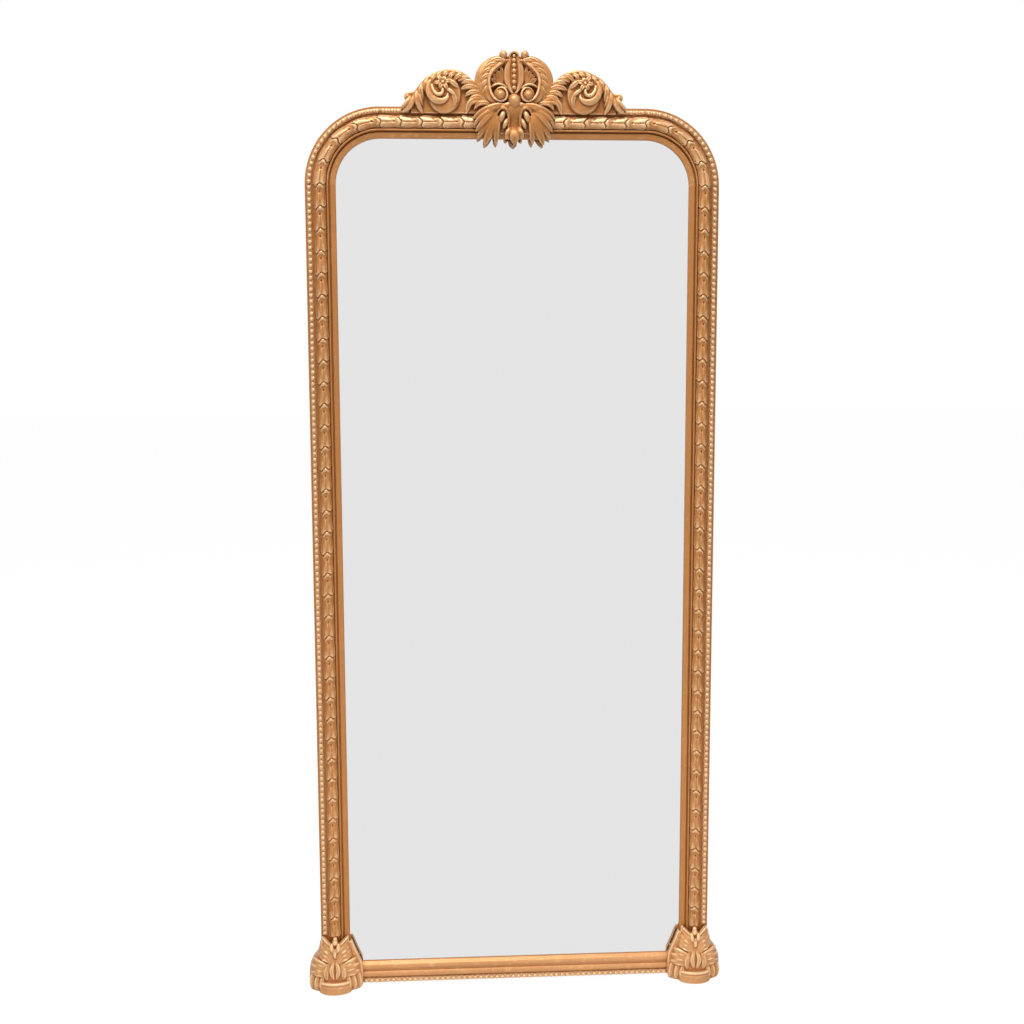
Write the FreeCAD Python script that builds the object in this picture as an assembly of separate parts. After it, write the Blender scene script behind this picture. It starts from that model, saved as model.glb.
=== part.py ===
import FreeCAD
import Part
import math
import os

from FreeCAD import Vector

os.makedirs("parts", exist_ok=True)

# Front elevation of the frame, heights measured from the floor
FRAME_WIDTH = 850.0          # across the outer edges of the stiles
FRAME_TOP = 1872.0           # top edge of the frame
SHOULDER_RADIUS = 155.0      # outer radius of the rounded top corners
RAIL_LIFT = 8.0              # underside of the bottom rail
OVERALL_DEPTH = 86.0         # wall to the front of the plinths

# Section across the frame, from the outer edge inwards
EDGE_BAND = 4.25             # flat band outside the pearls
PEARL_DIAMETER = 9.0
QUIRK = 3.75                 # flat between the pearls and the leaf moulding
LEAF_WIDTH = 27.0
RIDGE_WIDTH = 4.0
SLIP_WIDTH = 14.0
SLIP_OVERHANG = 8.0          # how far the slip covers the glass
BACK_LANDING = 8.0           # ledge that the back boards are screwed to

# Section through the frame, from the wall forwards
HANGER_RECESS = 9.0          # wall to the back of the cross rails
CROSS_RAIL_THICKNESS = 12.0
BACK_BOARD_THICKNESS = 6.0
BLOCK_THICKNESS = 8.0
GLASS_THICKNESS = 4.0
SEAT_STEP = 5.0              # seat of the applied ornament in front of the glass
RIDGE_HEIGHT = 7.0

# Sight slip
SLIP_LIP = 3.2               # thickness at the sight edge
SLIP_CROWN = 7.5             # thickness at the high side
SLIP_GROOVE = 3.5            # width of the dark groove beside the ridge
SLIP_NOSE = 2.4              # width of the rounded nose at the sight edge

# Bottom rail face, from the sight edge down
RAIL_LIP_WIDTH = 3.0
REED_WIDTH = 14.5
REED_GAP = 3.0
REED_HEIGHT = 5.0
RAIL_COVE_WIDTH = 2.5
RAIL_EDGE_BAND = 1.0

# Running ornament
PEARL_PITCH = 12.0
PEARL_RIBBON = 2.0           # thickness of the ribbon that carries the pearls
PEARL_LIFT = 1.5             # pearl centres above the ribbon
LEAF_PITCH = 44.0
LEAF_SWELL = 2.4             # how far a leaf tip stands above the next leaf's root
LEAF_STEP = 1.2              # length of the undercut behind a leaf tip
SHOULDER_SLICES = 4          # sections along one leaf on the curved shoulders
ORNAMENT_PLAY = 0.3          # glue line beside an applied moulding

# Glazing and back
GLASS_PLAY = 1.0             # glass edge to the rebate
SETTING_BLOCK_HEIGHT = 3.0
SETTING_BLOCK_LENGTH = 40.0
SETTING_BLOCK_X = 220.0
GLASS_BLOCK_LENGTH = 40.0
GLASS_BLOCK_WIDTH = 12.0
GLASS_BLOCK_SPACING = 330.0
BOARD_PLAY = 0.5             # back board edges to the rebate and to each other
CROSS_RAIL_WIDTH = 80.0
CROSS_RAIL_HOUSING = 26.0    # how far a cross rail is let into each stile
UPPER_RAIL_DROP = 237.0      # springing of the shoulders down to the middle of the upper rail
LOWER_RAIL_HEIGHT = 520.0

# Loose tenons
TENON_WIDTH = 26.0
TENON_THICKNESS = 12.0
TENON_LENGTH = 50.0
TENON_BACK = 14.0            # wall to the back of the tenons
TENON_INSET = 12.0           # outer edge of the frame to the tenons
RAIL_TENON_WIDTH = 16.0
RAIL_TENON_INSET = 7.0       # underside of the bottom rail to its tenons

# Crest, rises measured from the top edge of the frame
CREST_BOARD_THICKNESS = 24.0
CREST_LAP = 15.0             # how far the crest covers the top rail
CREST_BASE = 10.0            # thickness of the carved ground
LOBE_BLUNT = 0.8             # radius at the ends of a leaf lobe
LOBE_X = 140.0
LOBE_RISE = 5.0
LOBE_RADIUS = 70.0
LOBE_RIM = 9.0               # radius of the scrolled rim
LOBE_BOWL_RADIUS = 32.0
LOBE_BOWL_HEIGHT = 8.0
LOBE_BOWL_RIM = 5.0
LOBE_FLOWER_RADIUS = 14.0
LOBE_TIP_REACH = 12.0        # how far the end leaves stand out past the rim
SHELL_RISE = 30.0
SHELL_RADIUS = 75.0
SHELL_RIM = 17.0             # radius of the rolled rim
STEM_WIDTH = 27.0
STEM_FOOT_RISE = 12.0
STEM_TOP_RISE = 108.0        # tip of the crest
STEM_HEIGHT = 20.0           # stem front in front of the ornament seat
CHANNEL_WIDTH = 20.0         # channel through the rim for the string of pearls
FINIAL_LENGTH = 14.0
FINIAL_RADIUS = 5.0
VOLUTE_X = 28.0
VOLUTE_RISE = 19.0
VOLUTE_RADIUS = 17.0
VOLUTE_HEIGHT = 30.0
BUTTON_RADIUS = 9.0
BUTTON_SINK = 4.0            # depth of a button's pocket
BERRY_RADIUS = 6.5
BERRY_X = 22.0
BERRY_RISE = 100.0
BERRY_HEIGHT = 22.0          # berry centres in front of the ornament seat
STRING_PEARLS = 8
STRING_PEARL_RADIUS = 4.0
STRING_FOOT_RISE = 32.0
STRING_PITCH = 8.4
STRING_CORD_RADIUS = 1.8
STRING_LIFT = 1.0            # pearl centres in front of the stem
CABOCHON_RISE = 7.0
CABOCHON_RADIUS = 12.0
CABOCHON_HALF_HEIGHT = 15.0
BOSS_RADIUS = 14.0
BOSS_HEIGHT = 28.0           # boss front in front of the ornament seat
SPRAY_ROOT_X = 30.0
SPRAY_LEAF_RADIUS = 11.0
SPRAY_LEAVES = ((8.0, 112.0), (27.0, 108.0), (48.0, 84.0))     # slope and length of each leaf
SPRAY_WEB_SHARE = 0.7        # how far the ground between the leaves follows them
DROP_CORE_HALF_WIDTH = 60.0
DROP_RADIUS = 74.0           # reach of the drop's ground below its root
DROP_ROOT_DROP = 2.0         # root of the drop below the frame top
DROP_PLATE_THICKNESS = 12.0
DROP_LEAF_RADIUS = 11.0
DROP_LEAF_START = 0.2        # where the leaf lobes start along the drop
DROP_SPREAD = 68.0           # slope of the ground's sides from straight down
DROP_MIDDLE_LEAF = 74.0
DROP_SIDE_LEAVES = ((27.0, 79.0), (41.0, 92.0), (57.0, 86.0), (73.0, 83.0))   # slope and length
BATTEN_X = 130.0
BATTEN_WIDTH = 40.0
BATTEN_THICKNESS = 12.0
BATTEN_TAIL = 40.0           # batten length below the frame top
BATTEN_HEAD = 48.0           # batten length above the frame top

# Feet
FOOT_HEIGHT = 120.0
FOOT_HALF_WIDTH = 60.0
FOOT_TOE_HALF_WIDTH = 58.0
FOOT_WAIST_HALF_WIDTH = 44.0
FOOT_NECK_HALF_WIDTH = 33.0
FOOT_BELLY_HEIGHT = 50.0
FOOT_WAIST_HEIGHT = 80.0
FOOT_TOE_REACH = 28.0        # reaches are measured in front of the ornament seat
FOOT_REACH = 32.0
FOOT_WAIST_REACH = 26.0
FOOT_NECK_REACH = 14.0
FOOT_WRAP_BACK = 14.0        # wall to the back of the outer leaf
FOOT_PLAY = 0.5              # foot to the mouldings that pass behind it
PLINTH_HEIGHT = 27.0
PLINTH_HALF_WIDTH = 36.5
PLINTH_SIDE = 8.5            # straight sides behind the rounded front

# Hanging hardware
HANGER_X = 240.0
STRAP_WIDTH = 14.0
STRAP_LENGTH = 60.0
STRAP_THICKNESS = 1.5
STRAP_TOP = 26.0             # ring pivot above the middle of the cross rail
RING_WIRE = 3.6
RING_PLAY = 0.1              # radial clearance of the ring in its eye
RING_GAP = 0.6               # hanging ring to the strap
RING_HALF_WIDTH = 13.0
RING_STRAIGHT = 10.0         # straight length of each side of the ring
RING_CORNER = 4.0

# Screws
SCREW_RADIUS = 2.0
SCREW_HEAD_RADIUS = 4.0
SCREW_HEAD_DEPTH = 2.6
SCREW_SLOT = 0.9
PAN_HEAD_HEIGHT = 1.8
HANGER_SCREW_LENGTH = 9.0
HANGER_SCREW_DROPS = (38.0, 51.0)      # below the ring pivot
BOARD_SCREW_LENGTH = 15.0
RAIL_SCREW_LENGTH = 26.0
CREST_SCREW_LENGTH = 26.0
FOOT_SCREW_LENGTH = 58.0
BOARD_SCREW_HEIGHTS = (160.0, 340.0, 700.0, 1000.0, 1300.0, 1640.0)
BOARD_SCREW_TOP_X = 180.0
RAIL_SCREW_PITCH = 44.0
FOOT_SCREW_HEIGHTS = (58.0, 90.0)
FOOT_SCREW_INSET = 26.0
CREST_SCREW_GAP = 20.0       # screws above and below the frame top

# Places across the frame, from the outer edge inwards
HALF_WIDTH = FRAME_WIDTH / 2
PEARL_CENTRE = EDGE_BAND + PEARL_DIAMETER / 2
PEARL_BAND = EDGE_BAND + PEARL_DIAMETER
LEAF_CENTRE = PEARL_BAND + QUIRK + LEAF_WIDTH / 2
RIDGE_START = LEAF_CENTRE + LEAF_WIDTH / 2
SLIP_START = RIDGE_START + RIDGE_WIDTH
SIGHT_EDGE = SLIP_START + SLIP_WIDTH
INNER_FACE = SIGHT_EDGE - SLIP_OVERHANG
BACK_EDGE = INNER_FACE - BACK_LANDING
SPRING_X = HALF_WIDTH - SHOULDER_RADIUS
SPRING_Z = FRAME_TOP - SHOULDER_RADIUS
UPPER_RAIL_HEIGHT = SPRING_Z - UPPER_RAIL_DROP

# Places through the frame, from the wall forwards
WALL_Y = OVERALL_DEPTH / 2
BOARD_BACK = HANGER_RECESS + CROSS_RAIL_THICKNESS
BLOCK_BACK = BOARD_BACK + BACK_BOARD_THICKNESS
GLASS_BACK = BLOCK_BACK + BLOCK_THICKNESS
GLASS_FRONT = GLASS_BACK + GLASS_THICKNESS
SEAT = GLASS_FRONT + SEAT_STEP
RIDGE_TOP = SEAT + RIDGE_HEIGHT
REED_TOP = SEAT + RAIL_EDGE_BAND + REED_HEIGHT
PEARL_TOP = SEAT + PEARL_RIBBON + PEARL_LIFT + PEARL_DIAMETER / 2
LEAF_RADIUS = LEAF_WIDTH / 2 - ORNAMENT_PLAY
CREST_BACK = SEAT - CREST_BOARD_THICKNESS

# Bottom rail heights
BOTTOM_RAIL_HEIGHT = (RAIL_LIP_WIDTH + 2 * REED_WIDTH + REED_GAP + RAIL_COVE_WIDTH
                      + PEARL_DIAMETER + RAIL_EDGE_BAND)
SIGHT_BOTTOM = RAIL_LIFT + BOTTOM_RAIL_HEIGHT
REBATE_BOTTOM = SIGHT_BOTTOM - SLIP_OVERHANG
GLASS_BOTTOM = REBATE_BOTTOM + SETTING_BLOCK_HEIGHT
BOARD_BOTTOM = REBATE_BOTTOM - BACK_LANDING

# Feet
FOOT_X = HALF_WIDTH - SIGHT_EDGE / 2
FOOT_INNER_BACK = max(RIDGE_TOP, REED_TOP, PEARL_TOP) + FOOT_PLAY

# Hanging ring pivot
PIVOT_Z = UPPER_RAIL_HEIGHT + STRAP_TOP
PIVOT_DEPTH = HANGER_RECESS - STRAP_THICKNESS - RING_GAP - RING_WIRE / 2

FRONTWARDS = Vector(0, -1, 0)
FAR = 4000.0                 # larger than the whole mirror, for half-space cuts
CLOSED = 1e-6                # an outline's ends are one point within this


def at(x, depth, z):
    """The point at a depth measured forwards from the wall."""
    return Vector(x, WALL_Y - depth, z)


def on_stile(z, across, depth):
    """A point of the left stile's section at height z."""
    return at(across - HALF_WIDTH, depth, z)


def on_top(x, across, depth):
    """A point of the top rail's section at x."""
    return at(x, depth, FRAME_TOP - across)


def on_shoulder(turn, across, depth):
    """A point of the left shoulder's section, turned from the top rail towards the stile."""
    radius = SHOULDER_RADIUS - across
    angle = math.radians(turn)
    return at(-SPRING_X - radius * math.sin(angle), depth, SPRING_Z + radius * math.cos(angle))


def on_bottom(x, down, depth):
    """A point of the bottom rail's section at x, measured down from the sight edge."""
    return at(x, depth, SIGHT_BOTTOM - down)


def on_crest(x, depth, rise):
    """A point of the crest, measured up from the frame's top edge."""
    return at(x, depth, FRAME_TOP + rise)


def outline(place, along, start, *steps):
    """A closed wire: each step is a point, or the through and end points of an arc."""
    first = place(along, *start)
    here = first
    edges = []
    for step in steps:
        if isinstance(step[0], tuple):
            through, end = [place(along, *point) for point in step]
            edges.append(Part.Arc(here, through, end).toShape())
        else:
            end = place(along, *step)
            edges.append(Part.makeLine(here, end))
        here = end
    if not here.isEqual(first, CLOSED):
        edges.append(Part.makeLine(here, first))
    return Part.Wire(edges)


def block(x0, x1, back, front, z0, z1):
    """A rectangular block between two sides, two depths and two heights."""
    return Part.makeBox(x1 - x0, front - back, z1 - z0, at(x0, front, z0))


def peg(x, z, radius, back, front):
    """A round peg that points to the front."""
    return Part.makeCylinder(radius, front - back, at(x, back, z), FRONTWARDS)


def mirrored(shape):
    """The same piece on the other side of the mirror."""
    return shape.mirror(Vector(0, 0, 0), Vector(1, 0, 0))


def joined(*shapes):
    """The shapes as one solid."""
    fused = shapes[0].multiFuse(list(shapes[1:]))
    if len(fused.Solids) != 1:
        raise ValueError(f"expected one solid, got {len(fused.Solids)}")
    return fused.Solids[0]


def in_front_of(shape, depth):
    """The part of a shape in front of a depth."""
    return shape.common(block(-FAR, FAR, depth, depth + FAR, -FAR, FAR))


def left_of(shape, x):
    """The part of a shape on the left of a place."""
    return shape.common(block(-FAR, x, -FAR, FAR, -FAR, FAR))


def above(shape, z):
    """The part of a shape above a height."""
    return shape.common(block(-FAR, FAR, -FAR, FAR, z, z + FAR))


def save(name, *shapes):
    """Write a piece, or a group of like pieces, under its name."""
    solids = [solid for shape in shapes for solid in shape.Solids]
    for solid in solids:
        if not solid.isValid() or solid.Volume <= 0:
            raise ValueError(f"{name} is not a sound solid")
    whole = solids[0] if len(solids) == 1 else Part.makeCompound(solids)
    whole.exportStep(f"parts/{name}.step")


def save_pair(name, shape):
    """Write the left piece and its right twin. The name has a place for the side."""
    save(name.format("left"), shape)
    save(name.format("right"), mirrored(shape))


def turned(wire, centre, axis, angle=360):
    """The solid that an outline sweeps when it turns about an axis."""
    solid = Part.Face(wire).revolve(centre, axis, angle).Solids[0]
    if solid.Volume < 0:
        solid.reverse()
    return solid


def lobe_leaf(root, tip, radius):
    """A leaf lobe that lies on a flat ground: half round in section, narrow and blunt at both ends."""
    axis = tip - root
    side = FRONTWARDS.cross(axis).normalize()
    start = root + side * LOBE_BLUNT
    belly = root + axis * 0.5 + side * radius
    end = tip + side * LOBE_BLUNT
    wire = Part.Wire([Part.makeLine(root, start), Part.Arc(start, belly, end).toShape(),
                      Part.makeLine(end, tip), Part.makeLine(tip, root)])
    return turned(wire, root, axis, 180)


def shank(x, z, depth, length):
    """The shank of a screw that is driven forwards from a depth."""
    return peg(x, z, SCREW_RADIUS, depth, depth + length)


def countersunk_screw(x, z, depth, length):
    """A slotted wood screw with its flat head flush at a depth."""
    head = Part.makeCone(SCREW_HEAD_RADIUS, SCREW_RADIUS, SCREW_HEAD_DEPTH, at(x, depth, z), FRONTWARDS)
    slot = block(x - FAR, x + FAR, depth - SCREW_SLOT, depth + SCREW_SLOT,
                 z - SCREW_SLOT / 2, z + SCREW_SLOT / 2)
    return joined(head, shank(x, z, depth, length)).cut(slot)


def countersunk_hole(x, z, depth, length):
    """The hole of a wood screw: the screw without its slot."""
    head = Part.makeCone(SCREW_HEAD_RADIUS, SCREW_RADIUS, SCREW_HEAD_DEPTH, at(x, depth, z), FRONTWARDS)
    return joined(head, shank(x, z, depth, length))


def without(shape, tools):
    """A shape with a list of tools cut away, as one solid."""
    rest = shape.cut(tools) if tools else shape
    if len(rest.Solids) != 1:
        raise ValueError(f"a cut left {len(rest.Solids)} solids")
    return rest.Solids[0]


def main_solid(shape):
    """The largest solid of a shape that a cut has left in pieces."""
    return max(shape.Solids, key=lambda solid: solid.Volume)


# Sections that run along the frame
def carcass_outline(place, along):
    """Stile, shoulder and top rail: double rebate behind, ornament seat and ridge in front."""
    ridge_side = RIDGE_TOP - RIDGE_WIDTH / 2
    return outline(place, along, (0, 0), (BACK_EDGE, 0), (BACK_EDGE, BLOCK_BACK), (INNER_FACE, BLOCK_BACK),
                   (INNER_FACE, GLASS_FRONT), (SLIP_START, GLASS_FRONT), (SLIP_START, ridge_side),
                   ((RIDGE_START + RIDGE_WIDTH / 2, RIDGE_TOP), (RIDGE_START, ridge_side)),
                   (RIDGE_START, SEAT), (0, SEAT))


def slip_outline(place, along):
    """Sight slip: a groove beside the ridge, a sloping face and a rounded nose over the glass."""
    groove = SLIP_START + SLIP_GROOVE
    floor = GLASS_FRONT + SLIP_LIP
    crown = GLASS_FRONT + SLIP_CROWN
    nose = SIGHT_EDGE - SLIP_NOSE
    nose_top = floor + SLIP_NOSE
    return outline(place, along, (SLIP_START, GLASS_FRONT), (SIGHT_EDGE, GLASS_FRONT), (SIGHT_EDGE, floor),
                   ((SIGHT_EDGE - SLIP_NOSE * (1 - math.sqrt(0.5)), floor + SLIP_NOSE * math.sqrt(0.5)),
                    (nose, nose_top)),
                   (groove, crown), (groove, floor), (SLIP_START, floor))


def bottom_outline(place, along):
    """Bottom rail: lip over the glass, two reeds, cove and pearl seat, double rebate behind."""
    ground = SEAT + RAIL_EDGE_BAND
    first = RAIL_LIP_WIDTH
    second = first + REED_WIDTH + REED_GAP
    cove = second + REED_WIDTH
    pearls = cove + RAIL_COVE_WIDTH
    back = SLIP_OVERHANG + BACK_LANDING
    return outline(place, along, (BOTTOM_RAIL_HEIGHT, 0), (back, 0), (back, BLOCK_BACK),
                   (SLIP_OVERHANG, BLOCK_BACK), (SLIP_OVERHANG, GLASS_FRONT), (0, GLASS_FRONT),
                   (0, GLASS_FRONT + SLIP_LIP), (first, ground),
                   ((first + REED_WIDTH / 2, REED_TOP), (first + REED_WIDTH, ground)), (second, ground),
                   ((second + REED_WIDTH / 2, REED_TOP), (cove, ground)), (pearls, SEAT),
                   (BOTTOM_RAIL_HEIGHT, SEAT))


def stile_run(section, z0, z1):
    """A section drawn up the left stile."""
    return Part.Face(section(on_stile, z0)).extrude(Vector(0, 0, z1 - z0))


def rail_run(section, place, x0, x1):
    """A section drawn across a rail."""
    return Part.Face(section(place, x0)).extrude(Vector(x1 - x0, 0, 0))


def shoulder_run(section):
    """A section turned round the left shoulder."""
    return turned(section(on_shoulder, 0), at(-SPRING_X, 0, SPRING_Z), Vector(0, 1, 0), -90)


def ribbon_outline(place, along, centre=PEARL_CENTRE):
    """The flat ribbon under a row of pearls."""
    half = PEARL_DIAMETER / 2
    return outline(place, along, (centre - half, SEAT), (centre + half, SEAT),
                   (centre + half, SEAT + PEARL_RIBBON), (centre - half, SEAT + PEARL_RIBBON))


def pearls(place, start, end, length, centre=PEARL_CENTRE):
    """Evenly spaced pearls between two places of a run."""
    count = max(1, round(length / PEARL_PITCH))
    depth = SEAT + PEARL_RIBBON + PEARL_LIFT
    spots = [start + (end - start) * (number + 0.5) / count for number in range(count)]
    return [Part.makeSphere(PEARL_DIAMETER / 2, place(spot, centre, depth)) for spot in spots]


def beading(*pieces):
    """Ribbons and their pearls as one strip, flat behind."""
    return main_solid(in_front_of(joined(*pieces), SEAT))


def leaf_section(place, along, radius):
    """One half-round section of the leaf moulding."""
    return outline(place, along, (LEAF_CENTRE - radius, SEAT),
                   ((LEAF_CENTRE, SEAT + radius), (LEAF_CENTRE + radius, SEAT)))


def leaf_run(place, start, end, length, slices=1):
    """Overlapping leaves whose tips point from the start of a run to its end."""
    count = max(1, round(length / LEAF_PITCH))
    pitch = (end - start) / count
    undercut = pitch * LEAF_STEP * count / length
    sections = []
    for number in range(count):
        root = start + number * pitch
        first = root + (undercut if number else 0)
        tip = root + pitch
        for part in range(slices + 1):
            share = part / slices
            spot = first + (tip - first) * share
            sections.append(leaf_section(place, spot, LEAF_RADIUS - LEAF_SWELL * (1 - share)))
    return Part.makeLoft(sections, True, True)


# Screws and tenons come first, because the pieces they pass through are cut by them
rail_screw_x = HALF_WIDTH - BACK_EDGE + CROSS_RAIL_HOUSING / 2
rail_screw_spots = [(side * rail_screw_x, height + half * RAIL_SCREW_PITCH / 2)
                    for side in (-1, 1)
                    for height in (LOWER_RAIL_HEIGHT, UPPER_RAIL_HEIGHT)
                    for half in (-1, 1)]
board_screw_across = BACK_EDGE + BACK_LANDING / 2
board_screw_spots = [(side * (HALF_WIDTH - board_screw_across), height)
                     for side in (-1, 1) for height in BOARD_SCREW_HEIGHTS]
board_screw_spots += [(side * BOARD_SCREW_TOP_X, height)
                      for side in (-1, 1)
                      for height in (FRAME_TOP - board_screw_across, BOARD_BOTTOM + BACK_LANDING / 2)]
foot_screw_spots = [(side * (HALF_WIDTH - FOOT_SCREW_INSET), height)
                    for side in (-1, 1) for height in FOOT_SCREW_HEIGHTS]
crest_screw_spots = [(side * BATTEN_X, FRAME_TOP + half * CREST_SCREW_GAP)
                     for side in (-1, 1) for half in (-1, 1)]
batten_back = CREST_BACK - BATTEN_THICKNESS

rail_holes = [countersunk_hole(x, z, HANGER_RECESS, RAIL_SCREW_LENGTH) for x, z in rail_screw_spots]
board_holes = [countersunk_hole(x, z, BOARD_BACK, BOARD_SCREW_LENGTH) for x, z in board_screw_spots]
foot_holes = [countersunk_hole(x, z, 0, FOOT_SCREW_LENGTH) for x, z in foot_screw_spots]
crest_holes = [countersunk_hole(x, z, batten_back, CREST_SCREW_LENGTH) for x, z in crest_screw_spots]

save("cross_rail_screws", *[countersunk_screw(x, z, HANGER_RECESS, RAIL_SCREW_LENGTH)
                            for x, z in rail_screw_spots])
save("back_board_screws", *[countersunk_screw(x, z, BOARD_BACK, BOARD_SCREW_LENGTH)
                            for x, z in board_screw_spots])
save("foot_screws", *[countersunk_screw(x, z, 0, FOOT_SCREW_LENGTH) for x, z in foot_screw_spots])
save("crest_screws", *[countersunk_screw(x, z, batten_back, CREST_SCREW_LENGTH)
                       for x, z in crest_screw_spots])

tenon_front = TENON_BACK + TENON_THICKNESS
stile_tenon = block(TENON_INSET - HALF_WIDTH, TENON_INSET + TENON_WIDTH - HALF_WIDTH,
                    TENON_BACK, tenon_front, SPRING_Z - TENON_LENGTH / 2, SPRING_Z + TENON_LENGTH / 2)
top_tenon = block(-SPRING_X - TENON_LENGTH / 2, -SPRING_X + TENON_LENGTH / 2, TENON_BACK, tenon_front,
                  FRAME_TOP - TENON_INSET - TENON_WIDTH, FRAME_TOP - TENON_INSET)
rail_tenon_x = INNER_FACE - HALF_WIDTH
rail_tenon_z = RAIL_LIFT + RAIL_TENON_INSET
rail_tenon = block(rail_tenon_x - TENON_LENGTH / 2, rail_tenon_x + TENON_LENGTH / 2, TENON_BACK, tenon_front,
                   rail_tenon_z, rail_tenon_z + RAIL_TENON_WIDTH)
left_tenons = [stile_tenon, top_tenon, rail_tenon]
tenons = left_tenons + [mirrored(tenon) for tenon in left_tenons]
save("frame_tenons", *tenons)

# Cross rails behind the back boards
cross_rail_end = HALF_WIDTH - BACK_EDGE + CROSS_RAIL_HOUSING
cross_rail_spans = [(height - CROSS_RAIL_WIDTH / 2, height + CROSS_RAIL_WIDTH / 2)
                    for height in (LOWER_RAIL_HEIGHT, UPPER_RAIL_HEIGHT)]
housings = [block(-cross_rail_end, cross_rail_end, 0, BOARD_BACK, low, high)
            for low, high in cross_rail_spans]
hanger_screw_spots = [(side * HANGER_X, PIVOT_Z - drop) for side in (-1, 1) for drop in HANGER_SCREW_DROPS]
hanger_holes = [shank(x, z, HANGER_RECESS, HANGER_SCREW_LENGTH) for x, z in hanger_screw_spots]
for name, (low, high) in zip(("lower", "upper"), cross_rail_spans):
    cross_rail = block(-cross_rail_end, cross_rail_end, HANGER_RECESS, BOARD_BACK, low, high)
    save(f"{name}_cross_rail", without(cross_rail, rail_holes + hanger_holes))

# Carcass
stile = stile_run(carcass_outline, 0, SPRING_Z)
save_pair("{}_stile", without(stile, tenons + housings + rail_holes + board_holes + foot_holes))
save_pair("{}_shoulder", without(shoulder_run(carcass_outline), tenons))
batten_housings = [block(side * BATTEN_X - BATTEN_WIDTH / 2, side * BATTEN_X + BATTEN_WIDTH / 2,
                         0, CREST_BACK, FRAME_TOP - BATTEN_TAIL, FRAME_TOP) for side in (-1, 1)]
top_rail = rail_run(carcass_outline, on_top, -SPRING_X, SPRING_X)
save("top_rail", without(top_rail, tenons + batten_housings + crest_holes + board_holes))
bottom_rail = rail_run(bottom_outline, on_bottom, INNER_FACE - HALF_WIDTH, HALF_WIDTH - INNER_FACE)
save("bottom_rail", without(bottom_rail, tenons + board_holes))

# Sight slips
save_pair("{}_slip", stile_run(slip_outline, SIGHT_BOTTOM, SPRING_Z))
save_pair("{}_shoulder_slip", shoulder_run(slip_outline))
save("top_slip", rail_run(slip_outline, on_top, -SPRING_X, SPRING_X))

# Pearl beading
crest_end = LOBE_X + LOBE_RADIUS
pearl_arc = math.radians(90) * (SHOULDER_RADIUS - PEARL_CENTRE)
stile_beading = beading(stile_run(ribbon_outline, FOOT_HEIGHT, SPRING_Z),
                        *pearls(on_stile, FOOT_HEIGHT, SPRING_Z, SPRING_Z - FOOT_HEIGHT))
save_pair("{}_beading", stile_beading)
shoulder_strip = [shoulder_run(ribbon_outline), *pearls(on_shoulder, 0, 90, pearl_arc)]
if SPRING_X > crest_end:
    shoulder_strip.append(rail_run(ribbon_outline, on_top, -SPRING_X, -crest_end))
    shoulder_strip += pearls(on_top, -SPRING_X, -crest_end, SPRING_X - crest_end)
save_pair("{}_shoulder_beading", main_solid(left_of(beading(*shoulder_strip), -crest_end)))


def bottom_ribbon_outline(place, along):
    """The ribbon of the bottom rail's pearls."""
    return ribbon_outline(place, along, BOTTOM_RAIL_HEIGHT - RAIL_EDGE_BAND - PEARL_DIAMETER / 2)


rail_half = HALF_WIDTH - INNER_FACE
bottom_pearls = pearls(on_bottom, -rail_half, rail_half, 2 * rail_half,
                       BOTTOM_RAIL_HEIGHT - RAIL_EDGE_BAND - PEARL_DIAMETER / 2)
bottom_ribbon = rail_run(bottom_ribbon_outline, on_bottom, -rail_half, rail_half)
save("bottom_beading", beading(bottom_ribbon, *bottom_pearls))

# Leaf mouldings, flowing from the crest to the feet
leaf_arc = math.radians(90) * (SHOULDER_RADIUS - LEAF_CENTRE)
top_leaf_end = -DROP_CORE_HALF_WIDTH - ORNAMENT_PLAY
save_pair("{}_top_leaf_moulding", leaf_run(on_top, top_leaf_end, -SPRING_X, SPRING_X + top_leaf_end))
save_pair("{}_shoulder_leaf_moulding", leaf_run(on_shoulder, 0, 90, leaf_arc, SHOULDER_SLICES))
save_pair("{}_leaf_moulding", leaf_run(on_stile, SPRING_Z, FOOT_HEIGHT, SPRING_Z - FOOT_HEIGHT))


# Glass and back boards
def arched_plate(across, back, front, z0):
    """A plate that follows the frame at a distance from its outer edge, down to a height."""
    side = HALF_WIDTH - across
    top = FRAME_TOP - across
    radius = SHOULDER_RADIUS - across
    corner = radius * math.sqrt(0.5)
    points = [at(-side, back, z0), at(side, back, z0), at(side, back, SPRING_Z),
              at(SPRING_X + corner, back, SPRING_Z + corner), at(SPRING_X, back, top),
              at(-SPRING_X, back, top), at(-SPRING_X - corner, back, SPRING_Z + corner),
              at(-side, back, SPRING_Z)]
    lower_left, lower_right, right, right_arc, top_right, top_left, left_arc, left = points
    edges = [Part.makeLine(lower_left, lower_right), Part.makeLine(lower_right, right),
             Part.Arc(right, right_arc, top_right).toShape(), Part.makeLine(top_right, top_left),
             Part.Arc(top_left, left_arc, left).toShape(), Part.makeLine(left, lower_left)]
    return Part.Face(Part.Wire(edges)).extrude(FRONTWARDS * (front - back))


save("mirror_glass", arched_plate(INNER_FACE + GLASS_PLAY, GLASS_BACK, GLASS_FRONT, GLASS_BOTTOM))
back_board = arched_plate(BACK_EDGE + BOARD_PLAY, BOARD_BACK, BLOCK_BACK, BOARD_BOTTOM + BOARD_PLAY)
board_limits = [0, LOWER_RAIL_HEIGHT, UPPER_RAIL_HEIGHT, FRAME_TOP]
for name, low, high in zip(("lower", "middle", "upper"), board_limits, board_limits[1:]):
    board = back_board.common(block(-FAR, FAR, 0, FAR, low + BOARD_PLAY / 2, high - BOARD_PLAY / 2))
    save(f"{name}_back_board", without(board, board_holes))

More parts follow.
